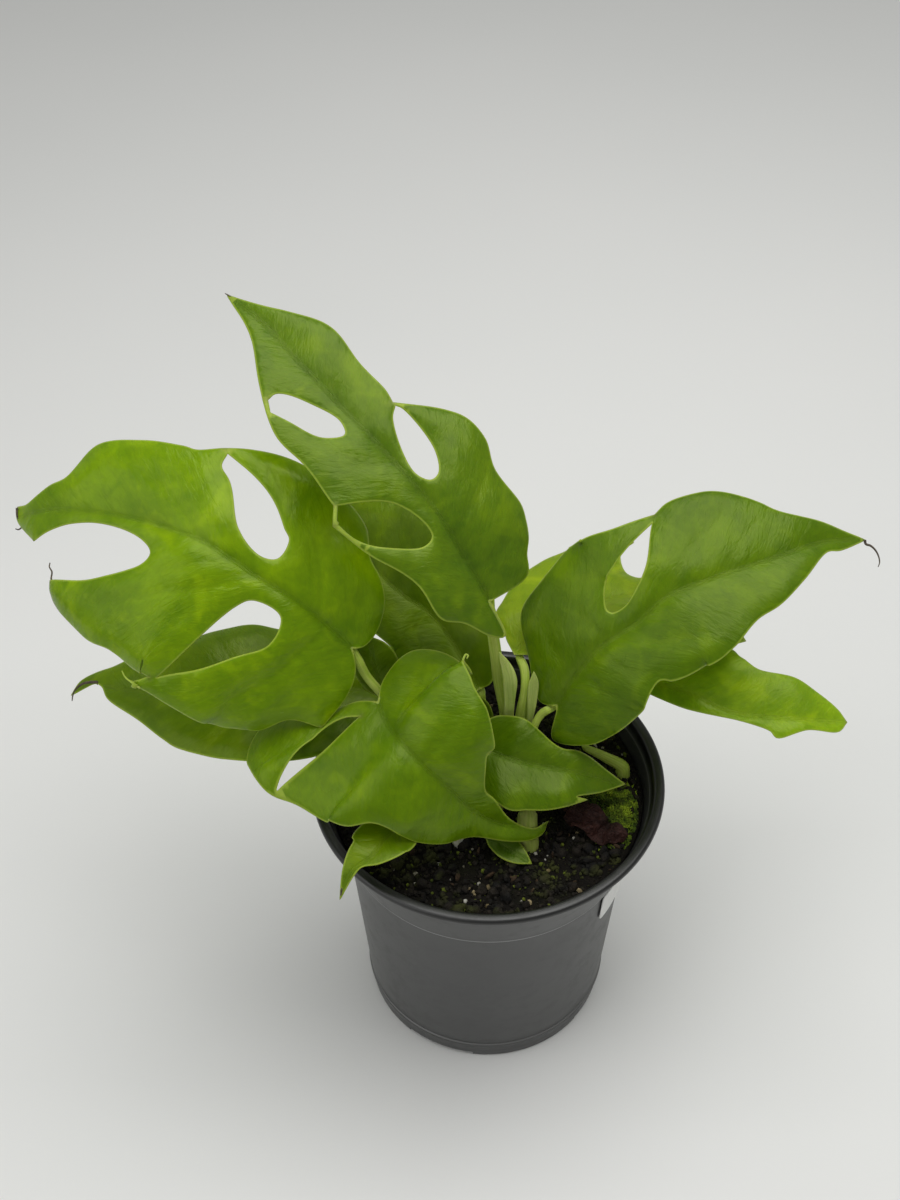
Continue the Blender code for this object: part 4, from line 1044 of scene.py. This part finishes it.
TINTS = {
    # name: light, deep, vein shade, vein tone (darker than the blade on leaf_top, leaf_left and leaf_front: painted
    # shade in the vein grooves), gloss
    "leaf_top": ((0.099, 0.180, 0.0042), (0.070, 0.140, 0.0042), 0.5, (0.043, 0.098, 0.0038), 0.40),
    "leaf_left": ((0.167, 0.289, 0.0010), (0.114, 0.217, 0.0010), 0.55, (0.065, 0.147, 0.0010), 0.35),
    "leaf_left_low": ((0.127, 0.218, 0.0014), (0.086, 0.161, 0.0010), 0.3, (0.172, 0.274, 0.0070), 0.42),
    "leaf_back": ((0.109, 0.188, 0.0010), (0.075, 0.135, 0.0010), 0.3, (0.149, 0.236, 0.0035), 0.44),
    "leaf_front": ((0.119, 0.216, 0.0007), (0.083, 0.163, 0.0007), 0.4, (0.058, 0.124, 0.0007), 0.40),
    "leaf_front_right": ((0.082, 0.158, 0.0010), (0.062, 0.127, 0.0010), 0.25, (0.104, 0.190, 0.0070), 0.42),
    "leaf_front_left": ((0.116, 0.197, 0.0010), (0.089, 0.162, 0.0010), 0.3, (0.130, 0.216, 0.0035), 0.42),
    "leaf_right": ((0.094, 0.177, 0.0010), (0.065, 0.132, 0.0010), 0.4, (0.125, 0.212, 0.0070), 0.42),
    "leaf_right_back": ((0.217, 0.322, 0.0070), (0.170, 0.267, 0.0049), 0.3, (0.255, 0.368, 0.0175), 0.45),
    "leaf_right_low": ((0.267, 0.423, 0.0080), (0.183, 0.319, 0.0075), 0.3, (0.337, 0.490, 0.0160), 0.38),
    "leaf_small_mid": ((0.104, 0.180, 0.0020), (0.076, 0.140, 0.0015), 0.2, (0.136, 0.234, 0.0100), 0.45),
    "leaf_small_left": ((0.120, 0.207, 0.0015), (0.088, 0.158, 0.0015), 0.2, (0.152, 0.252, 0.0100), 0.45),
    "leaf_seedling": ((0.060, 0.125, 0.004), (0.040, 0.090, 0.003), 0.3, (0.09, 0.17, 0.01), 0.40),
}

# Side veins in (u, v), where they are plain to see. The other blades get an even set.
VEINS = {
    "leaf_top": ["32,0 36,3 38,11 40,18 45,20", "22,0 26,9 28,16 33,21", "11,0 11,9 13,16 17,20", "46,0 51,-6 58,-10 66,-14 72,-16",
                 "36,0 42,-6 48,-12 52,-20", "14,0 18,-4 26,-12 32,-20", "4,0 8,-6 8,-12", "55,0 62,4 70,9 80,12",
                 "68,0 76,4 84,8 90,10", "68,0 76,-3 83,-8 86,-10", "80,0 88,-2 94,-5"],
    "leaf_left": ["35,0 39,-4 44,-10 55,-16 69,-22 80,-24 92,-24", "11,0 11,-6 12,-12 13,-20 18,-30 27,-35 33,-37 38,-39",
                  "48,0 54,2 63,8 70,12 76,14 82,16", "14,0 20,8 25,15 32,20 41,24 47,26", "4,0 7,8 10,15 15,20 20,24",
                  "62,0 72,2 82,4 92,5", "64,0 76,6 84,12 88,14", "43,0 54,-8 60,-12 68,-16"],
    "leaf_front": ["6,0 10,10 12,20 20,23 26,24", "6,0 5,10 6,20 7,28", "12,0 3,-8 -2,-14 -2,-20", "23,0 22,-12 18,-22 8,-26",
                   "34,0 34,-10 31,-18", "25,0 26,11 31,18", "36,0 38,6 42,10"],
    "leaf_right": ["12,0 14,-8 16,-15 18,-20", "27,0 26,-8 25,-15 24,-20", "32,0 33,-10 38,-16 46,-19 50,-21",
                   "47,0 53,-4 60,-10 70,-16 74,-20", "65,0 74,-8 82,-12 86,-13", "16,0 17,10 22,16", "36,0 36,4 42,10 56,16",
                   "24,0 29,11 36,16", "59,0 64,4 73,7 80,8", "74,0 85,2 93,2"],
}

# Thin dry threads at the points, as paths in mm: blade, path, radius at the foot and at the end.
THREADS = [
    ("leaf_top", "-68.6,64.5,218 -69.8,65.3,218.7 -70.9,65.9,219.4 -72,66.3,219.8", 0.32, 0.12, False),
    ("leaf_left", "-135.2,43,162.9 -135.1,41.4,161.2 -134.2,40.2,160 -133.9,39.2,159 -134.8,38.7,158.4 -135.7,38.8,158.6", 0.40, 0.14, False),
    ("leaf_left", "-122.2,19,155.4 -122.7,20,156.4 -122.5,21.4,157.8 -123.2,22.4,158.9 -123,23.2,159.7", 0.34, 0.16, False),
    ("leaf_left", "-95.7,-10.2,143.8 -97.8,-9.2,144.8 -99.7,-8.1,146 -100.6,-6.9,147.2", 0.30, 0.14, True),
    ("leaf_left_low", "-116.3,21.2,112.6 -118.7,21.3,112.7 -121.1,20.9,112.3 -122.9,19.9,111.3 -123.8,18.7,110 -124.1,17.4,108.7", 0.55, 0.15, False),
    ("leaf_right", "106.4,27.7,160.5 107.8,27.3,160.1 109.2,26.3,159.1 110.1,24.9,157.6 110.2,23.9,156.6 109.8,23.2,155.8", 0.42, 0.12, False),
    ("leaf_front", "-7.5,-4.7,146.7 -7.4,-3.8,147.6 -6.7,-2.9,148.5 -6.1,-3.1,148.3 -6.5,-3.7,147.7", 0.40, 0.20, True),
    ("leaf_front_left", "-41.3,-45.3,100 -41.6,-46.2,99 -41.7,-46.8,98.5", 0.35, 0.15, False),
]

# Small dark specks on a blade: u, v, radius. None are listed, so no blade gets any.
SPECKS = {}


def build():
    piece(pot_object(), pot_paint(), "pot_plastic", "pot")
    piece(label_object(), paper_paint(), "label_paper", "label_blank")
    peat = peat_paint()
    piece(peat_object(), peat, "growing_medium", "soil")
    crumbs = crumb_paint("peat_crumbs", (0.0022, 0.0017, 0.0012), (0.015, 0.011, 0.0065), (0.040, 0.046, 0.006))
    piece(scatter("peat_crumbs_small", soil_spots(4200, 3, 0.35, 1.25), 1, 5), crumbs, "growing_medium")
    piece(scatter("peat_crumbs_large", soil_spots(620, 4, 0.9, 2.4, (0.45, 0.95), 0.35), 2, 6, 0.3), crumbs, "growing_medium")
    bits = crumb_paint("moss_bits", (0.030, 0.045, 0.004), (0.130, 0.160, 0.014), (0.090, 0.120, 0.008))
    piece(scatter("moss_bits", soil_spots(520, 21, 0.30, 0.95, (0.5, 1.0), 0.35), 1, 8, 0.3), bits, "growing_medium")
    grit = crumb_paint("pale_grit", (0.10, 0.075, 0.035), (0.30, 0.24, 0.13), (0.16, 0.13, 0.05))
    piece(scatter("pale_grit", soil_spots(110, 27, 0.35, 1.0, (0.5, 0.9), 0.35), 1, 12, 0.3), grit, "growing_medium")
    bark = crumb_paint("bark_bits", (0.014, 0.008, 0.0045), (0.070, 0.042, 0.020), (0.022, 0.015, 0.006))
    piece(scatter("bark_bits", soil_spots(110, 9, 0.8, 2.6, (0.18, 0.5), 0.3), 2, 10, 0.25), bark, "growing_medium")
    piece(scatter("perlite_grains", soil_spots(60, 14, 0.35, 0.95, (0.7, 1.0), 0.35), 2, 15, 0.3), perlite_paint(), "growing_medium")
    moss = moss_paint()
    cushion, tufts = moss_objects()
    piece(cushion, moss, "moss", "moss_patch")
    piece(tufts, moss, "moss")

    litter = litter_paint("dead_leaf", (0.048, 0.019, 0.015), (0.012, 0.006, 0.005))
    sheath = stem_paint("sheath_skin", (0.56, 0.64, 0.200), (0.38, 0.49, 0.100), (0.42, 0.50, 0.14))
    stalk = stem_paint("petiole_skin", (0.50, 0.60, 0.120), (0.33, 0.45, 0.052), (0.44, 0.52, 0.14))
    pale = stem_paint("pale_stem_skin", (0.50, 0.57, 0.15), (0.33, 0.43, 0.07), (0.58, 0.56, 0.26))
    stub = stem_paint("stub_skin", (0.72, 0.72, 0.60), (0.55, 0.56, 0.40), (0.45, 0.44, 0.30))
    for i, (name, leaf) in enumerate(LEAVES.items()):
        litter_like, sheath_like = "litter" in name, "sheath" in name
        obj, _ = leaf_object(name, leaf,
                             thick=0.5 if sheath_like else 0.4, pillow=0.9, wave=0.7, seed=1.7 * i + 1, crumple=3.2 if litter_like else 0.0)
        if litter_like:
            piece(obj, litter, "dead_leaf", name)
        elif sheath_like:
            piece(obj, sheath, "sheath", name)
        else:
            piece(obj, leaf_paint(name + "_skin", *TINTS[name]), "leaf", name)
    dry = litter_paint("dry_thread", (0.16, 0.13, 0.09), (0.07, 0.055, 0.045))
    for i, (leaf, path, r0, r1, green) in enumerate(THREADS):
        path = table(path)
        blade, ring = Blade(LEAVES[leaf]), outline(LEAVES[leaf]["margin"], 0.5)
        rim = blade.at(ring[:, 0], ring[:, 1])
        foot = rim[np.argmin(np.linalg.norm(rim - path[0], axis=1))]
        if np.linalg.norm(foot - path[0]) > 0.4:
            path = np.vstack([foot, path])
        piece(thread_object(f"thread_{i + 1}_{leaf[5:]}", path, r0, r1), stalk if green else dry, "leaf")
    for name, (leaf, path, r, end_r) in STEMS.items():
        obj = stem_object(name + "_skin", leaf, path, r, end_r)
        kind = stub if "stub" in name else pale if name == "stem_front" else stalk
        piece(obj, kind, "cut_stub" if "stub" in name else "petiole", name)


def stage():
    p = Paint("pale_table", Specular_IOR_Level=0.3)
    tone, grain = p.noise(3, 3, 0.5), p.noise(600, 3, 0.6)
    colour = p.mix(p.span(tone, 0.3, 0.7), (0.80, 0.805, 0.80), (0.83, 0.83, 0.825))
    mat = p.finish(colour, p.span(grain, 0.3, 0.7, 0.55, 0.65), p.bump(grain, 0.0001, 0.3))
    floor = mesh_object("floor", [(-40000, -40000, -0.2), (40000, -40000, -0.2), (40000, 40000, -0.2), (-40000, 40000, -0.2)], [(0, 1, 2, 3)], False, recalc=False)
    floor.data.materials.append(mat)

    world = bpy.data.worlds.new("soft_room")
    bpy.context.scene.world = world
    world.use_nodes = True
    sky = world.node_tree.nodes["Background"]
    sky.inputs["Color"].default_value = (0.97, 0.98, 0.95, 1)
    sky.inputs["Strength"].default_value = WORLD

    for name, at, aim, size, power, tint in LIGHTS:
        data = bpy.data.lights.new(name, "AREA")
        data.shape, data.size, data.size_y = "RECTANGLE", size[0], size[1]
        data.energy, data.color = power, tint
        lamp = bpy.data.objects.new(name, data)
        lamp.location = at
        lamp.rotation_euler = (Vector(aim) - Vector(at)).to_track_quat("-Z", "Y").to_euler()
        bpy.context.scene.collection.objects.link(lamp)


WORLD = 0.30
LIGHTS = [
    # name, place, aimed at, size, watts, colour (metres)
    ("key_overhead", (0.13, 0.08, 0.78), (0.13, 0.08, 0.0), (0.72, 0.72), 4.5, (1.0, 1.0, 0.975)),
    ("fill_left", (-0.70, -0.36, 0.60), (-0.06, -0.04, 0.02), (0.8, 0.8), 2.1, (1.0, 1.0, 0.985)),
]


def camera():
    """The viewpoint: 44 degrees down, level along +Y, with a half-degree roll."""
    pitch, roll = math.radians(44.14), math.radians(-0.406)
    forward = Vector((0, math.cos(pitch), -math.sin(pitch)))
    right, up = Vector((1, 0, 0)), Vector((0, math.sin(pitch), math.cos(pitch)))
    x = right * math.cos(roll) + up * math.sin(roll)
    y = up * math.cos(roll) - right * math.sin(roll)
    data = bpy.data.cameras.new("camera")
    data.lens, data.sensor_width, data.sensor_fit = 51.0, 36.0, "AUTO"
    data.clip_start, data.clip_end = 0.01, 50.0
    eye = bpy.data.objects.new("camera", data)
    turn = Matrix((x, y, -forward)).transposed().to_4x4()
    eye.matrix_world = Matrix.Translation(Vector((-0.01095, -0.32666, 0.48352))) @ turn
    bpy.context.scene.collection.objects.link(eye)
    bpy.context.scene.camera = eye


bpy.context.scene.view_settings.view_transform = "Standard"
camera()
build()
stage()
bpy.context.view_layer.update()
